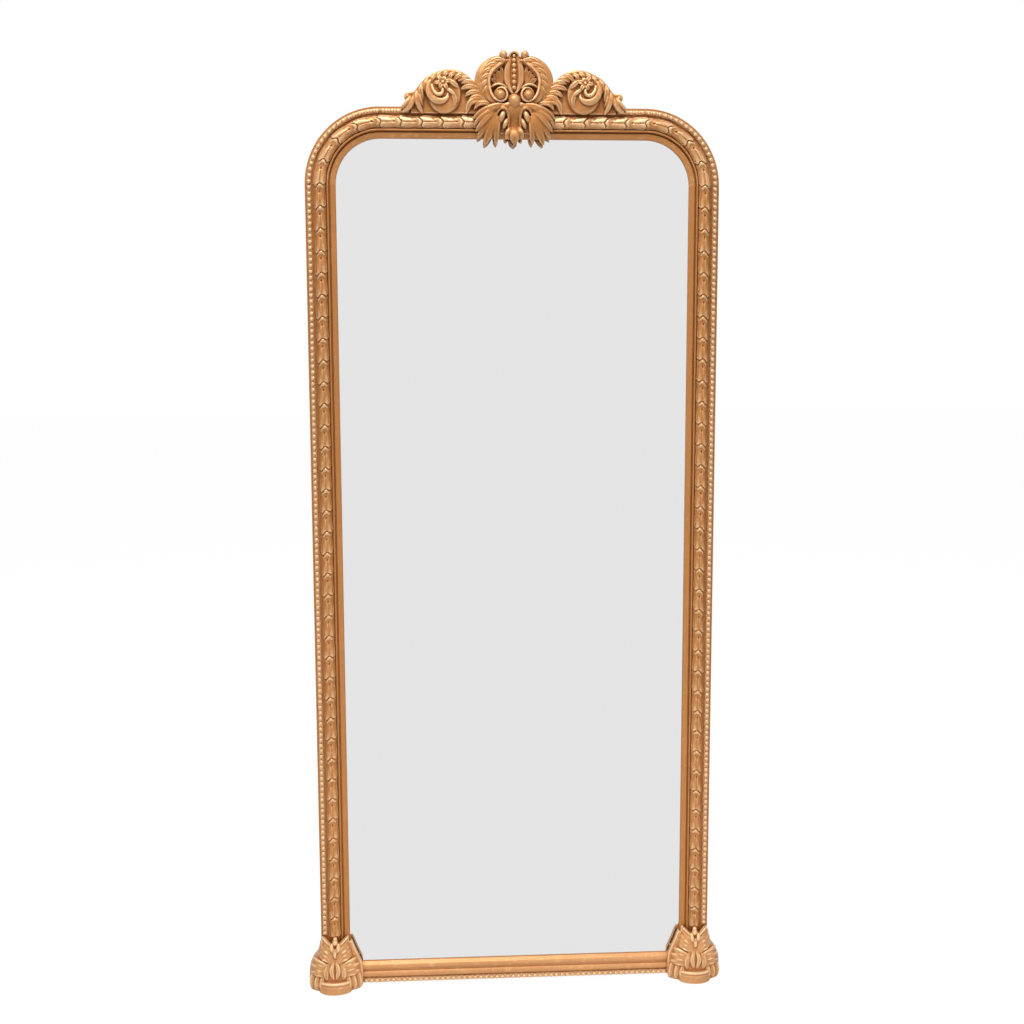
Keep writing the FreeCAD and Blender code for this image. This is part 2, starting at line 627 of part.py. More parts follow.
glass_blocks = []
block_count = int((SPRING_Z - REBATE_BOTTOM - 2 * GLASS_BLOCK_LENGTH) / GLASS_BLOCK_SPACING) + 1
block_start = (SPRING_Z + REBATE_BOTTOM - (block_count - 1) * GLASS_BLOCK_SPACING) / 2
for number in range(block_count):
    height = block_start + number * GLASS_BLOCK_SPACING
    side_block = block(INNER_FACE - HALF_WIDTH, INNER_FACE + GLASS_BLOCK_WIDTH - HALF_WIDTH,
                       BLOCK_BACK, GLASS_BACK,
                       height - GLASS_BLOCK_LENGTH / 2, height + GLASS_BLOCK_LENGTH / 2)
    glass_blocks += [side_block, mirrored(side_block)]
for middle in (-1, 0, 1):
    x0 = middle * SETTING_BLOCK_X - GLASS_BLOCK_LENGTH / 2
    x1 = middle * SETTING_BLOCK_X + GLASS_BLOCK_LENGTH / 2
    for low in (REBATE_BOTTOM, FRAME_TOP - INNER_FACE - GLASS_BLOCK_WIDTH):
        glass_blocks.append(block(x0, x1, BLOCK_BACK, GLASS_BACK, low, low + GLASS_BLOCK_WIDTH))
save("glass_blocks", *glass_blocks)
save("setting_blocks", *[block(side * SETTING_BLOCK_X - SETTING_BLOCK_LENGTH / 2,
                               side * SETTING_BLOCK_X + SETTING_BLOCK_LENGTH / 2,
                               GLASS_BACK, GLASS_FRONT, REBATE_BOTTOM, GLASS_BOTTOM) for side in (-1, 1)])

# Crest board and battens
crest_discs = [peg(side * LOBE_X, FRAME_TOP + LOBE_RISE, LOBE_RADIUS - LOBE_RIM, CREST_BACK, SEAT)
               for side in (-1, 1)]
crest_discs.append(peg(0, FRAME_TOP + SHELL_RISE, SHELL_RADIUS - SHELL_RIM, CREST_BACK, SEAT))
crest_foot = block(-LOBE_X, LOBE_X, CREST_BACK, SEAT, FRAME_TOP, FRAME_TOP + LOBE_RADIUS / 2)
crest_board = above(joined(crest_foot, *crest_discs), FRAME_TOP)
save("crest_board", without(crest_board, crest_holes))
batten = block(-BATTEN_X - BATTEN_WIDTH / 2, -BATTEN_X + BATTEN_WIDTH / 2, batten_back, CREST_BACK,
               FRAME_TOP - BATTEN_TAIL, FRAME_TOP + BATTEN_HEAD)
save_pair("crest_{}_batten", without(batten, crest_holes))

# Small turned pieces of the crest
boss_front = SEAT + BOSS_HEIGHT
cabochon = lobe_leaf(on_crest(0, boss_front, CABOCHON_RISE - CABOCHON_HALF_HEIGHT),
                     on_crest(0, boss_front, CABOCHON_RISE + CABOCHON_HALF_HEIGHT), CABOCHON_RADIUS)
save("crest_cabochon", cabochon)

volute_front = SEAT + VOLUTE_HEIGHT
button = Part.makeSphere(BUTTON_RADIUS, on_crest(-VOLUTE_X, volute_front, VOLUTE_RISE))
button = in_front_of(button, volute_front - BUTTON_SINK)
buttons = [button, mirrored(button)]
save("crest_volute_buttons", *buttons)

berry = Part.makeSphere(BERRY_RADIUS, on_crest(-BERRY_X, SEAT + BERRY_HEIGHT, BERRY_RISE))
berries = [berry, mirrored(berry)]
save("crest_berries", *berries)

stem_front = SEAT + STEM_HEIGHT
string_top = STRING_FOOT_RISE + (STRING_PEARLS - 1) * STRING_PITCH
string_cord = Part.makeCylinder(STRING_CORD_RADIUS, string_top - STRING_FOOT_RISE,
                                on_crest(0, stem_front + STRING_LIFT, STRING_FOOT_RISE), Vector(0, 0, 1))
string_rises = [STRING_FOOT_RISE + number * STRING_PITCH for number in range(STRING_PEARLS)]
string_pearls = [Part.makeSphere(STRING_PEARL_RADIUS, on_crest(0, stem_front + STRING_LIFT, rise))
                 for rise in string_rises]
bead_string = in_front_of(joined(string_cord, *string_pearls), stem_front)
save("crest_bead_string", bead_string)


# Acanthus drop
def fan_outline(place, along):
    """A pointed fan below its root, with rounded sides."""
    root = -DROP_ROOT_DROP
    spread = math.radians(DROP_SPREAD)
    side = DROP_RADIUS * math.sin(spread)
    level = root - DROP_RADIUS * math.cos(spread)
    shoulder = (DROP_CORE_HALF_WIDTH, root)
    bow = math.radians(DROP_SPREAD / 2)
    curve = (DROP_RADIUS * math.sin(bow), root - DROP_RADIUS * math.cos(bow))
    return outline(place, along, (-shoulder[0], root), shoulder, (side, level),
                   (curve, (0, root - DROP_RADIUS)), ((-curve[0], curve[1]), (-side, level)))


def crest_flat(depth, x, rise):
    """A point of a flat crest outline at a depth."""
    return on_crest(x, depth, rise)


plate_back = SEAT + LEAF_RADIUS + ORNAMENT_PLAY
plate_front = plate_back + DROP_PLATE_THICKNESS
fan = Part.Face(fan_outline(crest_flat, plate_back)).extrude(FRONTWARDS * DROP_PLATE_THICKNESS)
core = block(-DROP_CORE_HALF_WIDTH, DROP_CORE_HALF_WIDTH, SEAT, plate_front,
             FRAME_TOP - RIDGE_START + ORNAMENT_PLAY, FRAME_TOP - DROP_ROOT_DROP)
boss = peg(0, FRAME_TOP + CABOCHON_RISE, BOSS_RADIUS, SEAT, boss_front)
drop_root = on_crest(0, plate_front, -DROP_ROOT_DROP)
drop_leaves = [(0, DROP_MIDDLE_LEAF)]
drop_leaves += [(side * slope, length) for side in (-1, 1) for slope, length in DROP_SIDE_LEAVES]
leaf_lobes = []
for slope, length in drop_leaves:
    turn = math.radians(slope)
    reach = Vector(math.sin(turn), 0, -math.cos(turn)) * length
    leaf_lobes.append(lobe_leaf(drop_root + reach * DROP_LEAF_START, drop_root + reach, DROP_LEAF_RADIUS))
drop = without(joined(fan, core, boss, *leaf_lobes), [cabochon] + buttons)
save("crest_acanthus_drop", drop)

# Central shell
shell_z = FRAME_TOP + SHELL_RISE
ground = peg(0, shell_z, SHELL_RADIUS - SHELL_RIM, SEAT, SEAT + CREST_BASE)
rim = Part.makeTorus(SHELL_RADIUS - SHELL_RIM, SHELL_RIM, at(0, SEAT + CREST_BASE, shell_z), Vector(0, 1, 0))
stem_half = STEM_WIDTH / 2
stem_middle = (STEM_FOOT_RISE + STEM_TOP_RISE) / 2
stem_wire = outline(crest_flat, SEAT, (0, STEM_FOOT_RISE), ((stem_half, stem_middle), (0, STEM_TOP_RISE)),
                    ((-stem_half, stem_middle), (0, STEM_FOOT_RISE)))
stem = Part.Face(stem_wire).extrude(FRONTWARDS * STEM_HEIGHT)
volutes = [peg(side * VOLUTE_X, FRAME_TOP + VOLUTE_RISE, VOLUTE_RADIUS, SEAT, volute_front)
           for side in (-1, 1)]
channel = block(-CHANNEL_WIDTH / 2, CHANNEL_WIDTH / 2, stem_front, FAR, shell_z, FAR)
finial = lobe_leaf(on_crest(0, stem_front, STEM_TOP_RISE - FINIAL_LENGTH),
                   on_crest(0, stem_front, STEM_TOP_RISE), FINIAL_RADIUS)
shell = above(in_front_of(joined(ground, rim, stem, *volutes), SEAT), FRAME_TOP - CREST_LAP)
shell = joined(shell.cut(channel), finial)
shell = without(shell, [drop, cabochon, bead_string] + buttons + berries)
save("crest_shell", shell)

# Leaf sprays between the shell and the lobes
spray_reaches = [Vector(-math.cos(math.radians(slope)), 0, math.sin(math.radians(slope))) * length
                 for slope, length in SPRAY_LEAVES]
spray_axis = at(-SPRAY_ROOT_X, SEAT + CREST_BASE, FRAME_TOP)
spray_leaves = [lobe_leaf(spray_axis, spray_axis + reach, SPRAY_LEAF_RADIUS) for reach in spray_reaches]
web_root = at(-SPRAY_ROOT_X, SEAT, FRAME_TOP)
web_corners = [web_root] + [web_root + reach * SPRAY_WEB_SHARE for reach in spray_reaches]
spray_web = Part.Face(Part.makePolygon(web_corners + [web_root])).extrude(FRONTWARDS * CREST_BASE)
spray = above(joined(spray_web, *spray_leaves), FRAME_TOP - CREST_LAP)
spray = main_solid(spray.cut([shell, drop]))
save_pair("crest_{}_spray", spray)

# Scroll lobes
lobe_z = FRAME_TOP + LOBE_RISE
lobe_front = SEAT + CREST_BASE
lobe_ground = joined(peg(-LOBE_X, lobe_z, LOBE_RADIUS - LOBE_RIM, SEAT, lobe_front),
                     block(-LOBE_X - LOBE_RADIUS, -SPRAY_ROOT_X, SEAT, lobe_front,
                           FRAME_TOP - CREST_LAP, lobe_z))
lobe_ground = above(lobe_ground, FRAME_TOP - CREST_LAP)
lobe_rim = Part.makeTorus(LOBE_RADIUS - LOBE_RIM, LOBE_RIM, at(-LOBE_X, lobe_front, lobe_z), Vector(0, 1, 0))
lobe_rim = above(in_front_of(lobe_rim, SEAT), lobe_z)
bowl_z = FRAME_TOP + LOBE_BOWL_RADIUS - CREST_LAP
bowl_front = lobe_front + LOBE_BOWL_HEIGHT
bowl = peg(-LOBE_X, bowl_z, LOBE_BOWL_RADIUS, lobe_front, bowl_front).cut(
    peg(-LOBE_X, bowl_z, LOBE_BOWL_RADIUS - LOBE_BOWL_RIM, lobe_front, bowl_front))
flower = in_front_of(Part.makeSphere(LOBE_FLOWER_RADIUS, at(-LOBE_X, lobe_front, bowl_z)), lobe_front)
end_leaf = lobe_leaf(on_crest(-LOBE_X - LOBE_RADIUS + 2 * LOBE_RIM, lobe_front, LOBE_RADIUS / 2),
                     on_crest(-LOBE_X - LOBE_RADIUS - LOBE_TIP_REACH, lobe_front, LOBE_RISE), LOBE_RIM)
lobe = joined(lobe_ground, lobe_rim, bowl, flower, end_leaf)
lobe = main_solid(lobe.cut([shell, spray, drop]))
save_pair("crest_{}_scroll", lobe)


# Feet and plinths
def foot_section(place, along, half_width, reach):
    """A bow-fronted section of a foot."""
    return outline(place, along, (-half_width, SEAT), ((0, SEAT + reach), (half_width, SEAT)))


def on_foot(z, across, depth):
    """A point of the left foot's section, measured from its middle."""
    return at(across - FOOT_X, depth, z)


foot_levels = [(0, FOOT_TOE_HALF_WIDTH, FOOT_TOE_REACH), (PLINTH_HEIGHT, FOOT_HALF_WIDTH, FOOT_REACH),
               (FOOT_BELLY_HEIGHT, FOOT_HALF_WIDTH, FOOT_REACH),
               (FOOT_WAIST_HEIGHT, FOOT_WAIST_HALF_WIDTH, FOOT_WAIST_REACH),
               (FOOT_HEIGHT, FOOT_NECK_HALF_WIDTH, FOOT_NECK_REACH)]
foot_front = Part.makeLoft([foot_section(on_foot, *level) for level in foot_levels], True, True)


def wrap_section(place, along, half_width):
    """A section of the leaf that wraps round the stile's outer side."""
    return outline(place, along, (-half_width, FOOT_WRAP_BACK), (-FOOT_NECK_HALF_WIDTH, FOOT_WRAP_BACK),
                   (-FOOT_NECK_HALF_WIDTH, SEAT), (-half_width, SEAT))


foot_wrap = Part.makeLoft([wrap_section(on_foot, z, half_width)
                           for z, half_width, reach in foot_levels[:-1]], True, True)
plinth_bow_start = FOOT_INNER_BACK + PLINTH_SIDE
plinth_wire = outline(on_foot, 0, (-PLINTH_HALF_WIDTH, FOOT_INNER_BACK),
                      (PLINTH_HALF_WIDTH, FOOT_INNER_BACK), (PLINTH_HALF_WIDTH, plinth_bow_start),
                      ((0, OVERALL_DEPTH), (-PLINTH_HALF_WIDTH, plinth_bow_start)))
plinth = Part.Face(plinth_wire).extrude(Vector(0, 0, PLINTH_HEIGHT))
save_pair("{}_plinth", plinth)
behind_foot = block(RIDGE_START - ORNAMENT_PLAY - HALF_WIDTH, FAR, 0, FOOT_INNER_BACK, 0, FOOT_HEIGHT)
beside_stile = block(-HALF_WIDTH, 0, 0, SEAT, 0, FOOT_HEIGHT)
foot = joined(foot_front, foot_wrap)
foot = without(foot, [behind_foot, beside_stile, plinth] + foot_holes)
save_pair("{}_foot", foot)

# Strap hangers and rings
pan_base = HANGER_RECESS - STRAP_THICKNESS


def pan_screw(x, z):
    """A round-headed screw that holds a strap to the cross rail."""
    dome = (SCREW_HEAD_RADIUS ** 2 + PAN_HEAD_HEIGHT ** 2) / (2 * PAN_HEAD_HEIGHT)
    ball = Part.makeSphere(dome, at(x, pan_base - PAN_HEAD_HEIGHT + dome, z))
    head = ball.common(block(-FAR, FAR, -FAR, pan_base, -FAR, FAR))
    return joined(head, shank(x, z, pan_base, STRAP_THICKNESS + HANGER_SCREW_LENGTH))


save("hanger_screws", *[pan_screw(x, z) for x, z in hanger_screw_spots])

eye_bore = RING_WIRE / 2 + RING_PLAY
eye_start = at(-HANGER_X - STRAP_WIDTH / 2, PIVOT_DEPTH, PIVOT_Z)
eye = Part.makeCylinder(eye_bore + STRAP_THICKNESS, STRAP_WIDTH, eye_start, Vector(1, 0, 0))
bore = Part.makeCylinder(eye_bore, STRAP_WIDTH, eye_start, Vector(1, 0, 0))
strap = block(-HANGER_X - STRAP_WIDTH / 2, -HANGER_X + STRAP_WIDTH / 2, pan_base, HANGER_RECESS,
              PIVOT_Z - STRAP_LENGTH, PIVOT_Z)
strap_holes = [shank(x, z, pan_base, STRAP_THICKNESS) for x, z in hanger_screw_spots]
save_pair("{}_hanger_strap", without(joined(strap, eye), [bore] + strap_holes))


def ring_point(across, down):
    """A point of the hanging ring's wire, measured from the middle of its pivot."""
    return at(across - HANGER_X, PIVOT_DEPTH, PIVOT_Z - down)


bar = RING_HALF_WIDTH - RING_CORNER
bend = RING_CORNER * (1 - math.sqrt(0.5))
side_end = RING_CORNER + RING_STRAIGHT
loop = RING_HALF_WIDTH * math.sqrt(0.5)
ring_edges = [
    Part.makeLine(ring_point(-bar, 0), ring_point(bar, 0)),
    Part.Arc(ring_point(bar, 0), ring_point(RING_HALF_WIDTH - bend, bend),
             ring_point(RING_HALF_WIDTH, RING_CORNER)).toShape(),
    Part.makeLine(ring_point(RING_HALF_WIDTH, RING_CORNER), ring_point(RING_HALF_WIDTH, side_end)),
    Part.Arc(ring_point(RING_HALF_WIDTH, side_end), ring_point(loop, side_end + loop),
             ring_point(0, side_end + RING_HALF_WIDTH)).toShape(),
    Part.Arc(ring_point(0, side_end + RING_HALF_WIDTH), ring_point(-loop, side_end + loop),
             ring_point(-RING_HALF_WIDTH, side_end)).toShape(),
    Part.makeLine(ring_point(-RING_HALF_WIDTH, side_end), ring_point(-RING_HALF_WIDTH, RING_CORNER)),
    Part.Arc(ring_point(-RING_HALF_WIDTH, RING_CORNER), ring_point(bend - RING_HALF_WIDTH, bend),
             ring_point(-bar, 0)).toShape()]
wire_section = Part.Wire(Part.makeCircle(RING_WIRE / 2, ring_point(-bar, 0), Vector(1, 0, 0)))
ring = Part.Wire(ring_edges).makePipeShell([wire_section], True, False)
save_pair("{}_hanger_ring", ring)
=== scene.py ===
import math

import bpy
import numpy as np
from bpy.props import FloatProperty, FloatVectorProperty, IntProperty, PointerProperty
from mathutils import Matrix, Vector


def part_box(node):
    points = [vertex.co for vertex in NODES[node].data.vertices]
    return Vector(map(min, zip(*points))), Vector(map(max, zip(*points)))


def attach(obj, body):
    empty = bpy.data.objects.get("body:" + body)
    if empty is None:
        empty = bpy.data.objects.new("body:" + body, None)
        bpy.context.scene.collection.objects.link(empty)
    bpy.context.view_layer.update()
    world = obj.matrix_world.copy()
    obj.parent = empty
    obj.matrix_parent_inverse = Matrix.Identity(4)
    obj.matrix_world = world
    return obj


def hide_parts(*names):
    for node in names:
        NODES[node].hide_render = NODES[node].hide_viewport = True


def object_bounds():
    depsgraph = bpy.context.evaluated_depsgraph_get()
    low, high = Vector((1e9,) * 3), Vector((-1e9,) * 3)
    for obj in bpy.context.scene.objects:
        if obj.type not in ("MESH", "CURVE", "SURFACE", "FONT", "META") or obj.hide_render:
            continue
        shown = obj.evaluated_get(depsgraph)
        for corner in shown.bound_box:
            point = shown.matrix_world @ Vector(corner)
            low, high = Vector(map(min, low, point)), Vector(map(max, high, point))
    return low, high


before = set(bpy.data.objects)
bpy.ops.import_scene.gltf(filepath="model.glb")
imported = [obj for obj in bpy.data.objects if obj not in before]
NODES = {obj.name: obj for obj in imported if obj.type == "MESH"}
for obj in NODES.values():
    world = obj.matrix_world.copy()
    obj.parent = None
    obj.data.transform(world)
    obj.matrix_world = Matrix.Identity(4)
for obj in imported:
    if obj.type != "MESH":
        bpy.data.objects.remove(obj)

bl_info = {
    "name": "Gilt Pier Mirror",
    "version": (1, 0, 0),
    "blender": (4, 5, 0),
    "location": "3D View > Sidebar > Pier Mirror",
    "description": "Carved crest, mouldings, beading, feet and finishes of a gilt pier mirror",
    "category": "Object",
}

MM = 0.001
X, Y, Z = range(3)
LOW, HIGH = range(2)
CAD_BOX = [list(corner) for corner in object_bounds()]
SIDES = (("left", False), ("right", True))    # whether a side is the left one turned over
HOLLOW = "hollow"                             # name of what the carving tells the gilding


def node_mm(name, corner, axis):
    """One coordinate of a node's box in millimetres."""
    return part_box(name)[corner][axis] / MM


def node_middle(name, axis):
    """The middle of a node's box along one axis, in millimetres."""
    return (node_mm(name, LOW, axis) + node_mm(name, HIGH, axis)) / 2


# Places shared by all the ornament, in millimetres: x across, z up, depth forwards from the wall
WALL_Y = CAD_BOX[HIGH][Y] / MM
FRAME_TOP = node_mm("top_rail", HIGH, Z)
HALF_WIDTH = node_mm("right_stile", HIGH, X)
SPRING_Z = node_mm("left_stile", HIGH, Z)
SHOULDER = FRAME_TOP - SPRING_Z
SPRING_X = HALF_WIDTH - SHOULDER
SEAT = WALL_Y - node_mm("left_leaf_moulding", HIGH, Y)
FOOT_TOP = node_mm("left_leaf_moulding", LOW, Z)
STILE_LENGTH = SPRING_Z - FOOT_TOP
LEAF_LINE = node_middle("left_leaf_moulding", X) + HALF_WIDTH
PEARL_LINE = node_middle("left_beading", X) + HALF_WIDTH
CREST_BASE = (0.0, FRAME_TOP, 0.0)
FOOT_BASE = (node_middle("left_plinth", X), 0.0, 0.0)


# Running lines of the frame: places and directions outwards, for shares of the way along
def stile_line(share):
    """Down the left stile's outer edge."""
    z = SPRING_Z + (FOOT_TOP - SPRING_Z) * share
    return np.stack([np.full_like(z, -HALF_WIDTH), z], 1), np.tile([-1.0, 0.0], (len(z), 1))


def shoulder_line(share):
    """Round the left shoulder's outer edge, from the top rail to the stile."""
    turn = share * math.pi / 2
    out = np.stack([-np.sin(turn), np.cos(turn)], 1)
    return np.array([-SPRING_X, SPRING_Z]) + out * SHOULDER, out


def level_line(start, end, z, out):
    """From one x to another at one height; out is 1 where upwards is outwards, or -1."""
    def line(share):
        x = start + (end - start) * share
        return np.stack([x, np.full_like(x, z)], 1), np.tile([0.0, out], (len(x), 1))
    return line


# Small sums
def smooth_step(value, low, high):
    """0 below low, 1 above high, and a soft ramp between."""
    t = np.clip((value - low) / (high - low), 0, 1)
    return t * t * (3 - 2 * t)


def bell(distance, reach):
    """A soft bump that falls away with distance."""
    return np.exp(-(distance / reach) ** 2)


def unit(vectors):
    """Vectors of the same directions, one long."""
    return vectors / np.linalg.norm(vectors, axis=1)[:, None]


def swelling(values, share):
    """Values set at even steps along a line, and in proportion between."""
    return np.interp(share, np.linspace(0, 1, len(values)), values)


def raised(places, depths):
    """Places as x and z with a depth each, or with one depth for all."""
    return np.c_[np.asarray(places, float), np.broadcast_to(depths, len(places))]


def flowing(points, count):
    """A smooth line through some points, with how far along each sample is."""
    points = np.asarray(points, float)
    along = np.r_[0, np.cumsum(np.linalg.norm(np.diff(points, axis=0), axis=1))]
    slopes = np.gradient(points, along, axis=0)
    spots = np.linspace(0, along[-1], count)
    index = np.clip(np.searchsorted(along, spots, "right") - 1, 0, len(points) - 2)
    span = (along[index + 1] - along[index])[:, None]
    t = (spots - along[index])[:, None] / span
    line = ((2 * t ** 3 - 3 * t ** 2 + 1) * points[index]
            + (t ** 3 - 2 * t ** 2 + t) * span * slopes[index]
            + (3 * t ** 2 - 2 * t ** 3) * points[index + 1]
            + (t ** 3 - t ** 2) * span * slopes[index + 1])
    return line, spots / along[-1]


# Mesh making
def to_world(points):
    """Points as x, z and depth in millimetres, in the frame's metres."""
    points = np.asarray(points, float)
    return np.stack([points[:, 0], WALL_Y - points[:, 2], points[:, 1]], 1) * MM


def mesh_of(name, points, faces):
    """A mesh of points in millimetres and lists of corners."""
    mesh = bpy.data.meshes.new(name)
    mesh.from_pydata(to_world(points).tolist(), [], faces)
    mesh.validate()
    return mesh


def mark_hollows(mesh, fine=5, broad=30):
    """Keep on each point how hollow the carving is there, in millimetres; ridges are negative.

    The points are eased step by step, and their drift after a few and after many steps is added.
    """
    count = len(mesh.vertices)
    places, normals = np.empty(count * 3), np.empty(count * 3)
    mesh.vertices.foreach_get("co", places)
    mesh.vertex_normals.foreach_get("vector", normals)
    places, normals = places.reshape(-1, 3), normals.reshape(-1, 3)
    edges = np.empty(len(mesh.edges) * 2, np.int32)
    mesh.edges.foreach_get("vertices", edges)
    ends = np.concatenate([edges[0::2], edges[1::2]])
    others = np.concatenate([edges[1::2], edges[0::2]])
    links = np.maximum(np.bincount(ends, minlength=count), 1)
    eased = places.copy()
    hollow = np.zeros(count)
    for step in range(1, broad + 1):
        eased = np.stack([np.bincount(ends, eased[others, axis], count) / links
                          for axis in (X, Y, Z)], 1)
        if step in (fine, broad):
            hollow += ((eased - places) * normals).sum(1) / MM
    attribute = mesh.attributes.new(HOLLOW, "FLOAT", "POINT")
    attribute.data.foreach_set("value", hollow.astype(np.float32))


def finished_piece(name, mesh, node, finish):
    """A mesh as a gilt piece that rides on the mirror and stands for its node."""
    mesh.shade_smooth()
    mark_hollows(mesh)
    mesh.materials.clear()
    mesh.materials.append(finish)
    piece = bpy.data.objects.new(name, mesh)
    bpy.context.scene.collection.objects.link(piece)
    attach(piece, "mirror")
    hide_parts(node)


def other_side(points, faces):
    """The same shape on the other side of the mirror, with its faces turned round."""
    return points * [-1, 1, 1], [face[::-1] for face in faces]


def ring_faces(rings, corners):
    """Faces of a closed skin over rings of points, with both ends capped."""
    faces = []
    for ring in range(rings - 1):
        for corner in range(corners):
            a = ring * corners + corner
            b = ring * corners + (corner + 1) % corners
            faces.append([a, b, b + corners, a + corners])
    faces.append(list(reversed(range(corners))))
    faces.append([(rings - 1) * corners + corner for corner in range(corners)])
    return faces


def outward(points, faces):
    """The faces of a closed skin, turned so that they look outwards."""
    places = points - np.mean(points, axis=0)
    volume = 0.0
    for corners in {len(face) for face in faces}:
        group = places[np.array([face for face in faces if len(face) == corners])]
        for second in range(1, corners - 1):
            volume += (group[:, 0] * np.cross(group[:, second], group[:, second + 1])).sum()
    return faces if volume > 0 else [face[::-1] for face in faces]


class Carving:
    """Closed skins that make up one piece; points are x, z and depth in millimetres."""

    ROUND = 9              # points over the crown of a stroke
    STEP = 2.0             # length of one sample along a stroke
    FEWEST = 8             # samples along the shortest stroke
    FULLNESS = 0.85        # power of the crown's curve: below 1 is fuller than a half-round
    CREASE_REACH = 0.3     # width of a crease as a share of the stroke's half width
    ROOT = 0.55            # width of a stroke's sunk root as a share of its half width
    TONGUE_WIDTHS = np.array([0.45, 0.68, 0.86, 0.97, 1.0, 0.97, 0.86, 0.66, 0.22])
    TONGUE_RISES = np.array([0.35, 0.65, 0.85, 0.96, 1.0, 0.98, 0.90, 0.74, 0.40])

    def __init__(self, origin=(0.0, 0.0, 0.0)):
        self.origin = np.array(origin, float)
        self.points = np.zeros((0, 3))
        self.faces = []

    def join(self, points, faces):
        """Put skins beside those that are there."""
        first = len(self.points)
        self.points = np.vstack([self.points, points])
        self.faces += [[first + corner for corner in face] for face in faces]

    def loft(self, rings):
        """A solid over rings that all have the same number of points, measured from the origin."""
        points = np.concatenate(rings)
        faces = ring_faces(len(rings), len(rings[0]))
        self.join(points + self.origin, outward(points, faces))

    def stroke(self, points, widths, heights, base=6.0, crease=0.0):
        """A leaf or stem along a line: half widths, crown heights and depth of its sunk root."""
        length = np.linalg.norm(np.diff(np.asarray(points, float), axis=0), axis=1).sum()
        line, share = flowing(points, max(self.FEWEST, int(length / self.STEP)))
        ahead = unit(np.gradient(line, axis=0))
        side = unit(np.cross(ahead, [0.0, 0.0, 1.0]))
        up = np.cross(side, ahead)
        turn = np.linspace(0, math.pi, self.ROUND)
        across = np.r_[np.cos(turn), -self.ROOT, self.ROOT]
        crown = np.sin(turn) ** self.FULLNESS - crease * bell(np.cos(turn), self.CREASE_REACH)
        width = swelling(widths, share)[:, None]
        rise = np.concatenate(
            [swelling(heights, share)[:, None] * crown, np.full((len(share), 2), -base)], 1)
        self.loft(line[:, None] + side[:, None] * (width * across)[:, :, None]
                  + up[:, None] * rise[:, :, None])

    def tongue(self, points, width, rise, crease, base=9.0):
        """A leaf tongue: narrow root, full belly and rounded point."""
        self.stroke(points, width * self.TONGUE_WIDTHS, rise * self.TONGUE_RISES, base, crease)

    def tongues(self, rows, depths, rise, crease, base=9.0):
        """Leaf tongues of one kind: each row has places as x and z, then the half width."""
        for *places, width in rows:
            self.tongue(raised(places, depths), width, rise, crease, base)

    def dome(self, centre, across, up, out, turns=20, levels=12):
        """A rounded boss: half sizes across, upwards and outwards."""
        turn = np.linspace(0, 2 * math.pi, turns, endpoint=False)
        rings = []
        for level in range(1, levels):
            polar = math.pi * level / levels
            x = across * math.sin(polar) * np.cos(turn)
            z = up * math.sin(polar) * np.sin(turn)
            rings.append(np.stack([x, z, np.full(turns, -out * math.cos(polar))], 1) + centre)
        self.loft(rings)

    def plate(self, corners, back, front):
        """A flat ground with a given outline."""
        self.loft([raised(corners, depth) for depth in (back, front)])

    def both_sides(self):
        """Add the mirror image of all that is there about the carving's own middle."""
        points, faces = other_side(self.points - self.origin, self.faces)
        self.join(points + self.origin, faces)

    def mesh(self, name, flip):
        """The skins as they are, or their mirror image."""
        skins = (self.points, self.faces)
        return mesh_of(name, *(other_side(*skins) if flip else skins))

    def fused(self, name, detail, ease, flip=False):
        """The skins grown together to one closed mesh, as a carver leaves it."""
        rough = bpy.data.objects.new(name + "_rough", self.mesh(name + "_rough", flip))
        bpy.context.scene.collection.objects.link(rough)
        remesh = rough.modifiers.new("fuse", "REMESH")
        remesh.mode = "VOXEL"
        remesh.voxel_size = detail
        soften = rough.modifiers.new("soften", "SMOOTH")
        soften.factor = 0.5
        soften.iterations = ease
        bpy.context.view_layer.update()
        whole = rough.evaluated_get(bpy.context.evaluated_depsgraph_get())
        mesh = bpy.data.meshes.new_from_object(whole)
        mesh.name = name
        old = rough.data
        bpy.data.objects.remove(rough)
        bpy.data.meshes.remove(old)
        if not mesh.polygons:
            raise RuntimeError(f"{name} came out empty")
        return mesh


# Leaf moulding, in millimetres unless it says share
LEAF_STEP = 0.85                # length of one row of points
LEAF_COLUMNS = 46               # points across
LEAF_GIRTH = 20.0               # half girth of the moulding
LEAF_EYE = 0.40                 # share of a leaf's length where its eye is drilled
LEAF_VARIETY = (0.8, 1.15)      # shares by which leaves differ in height


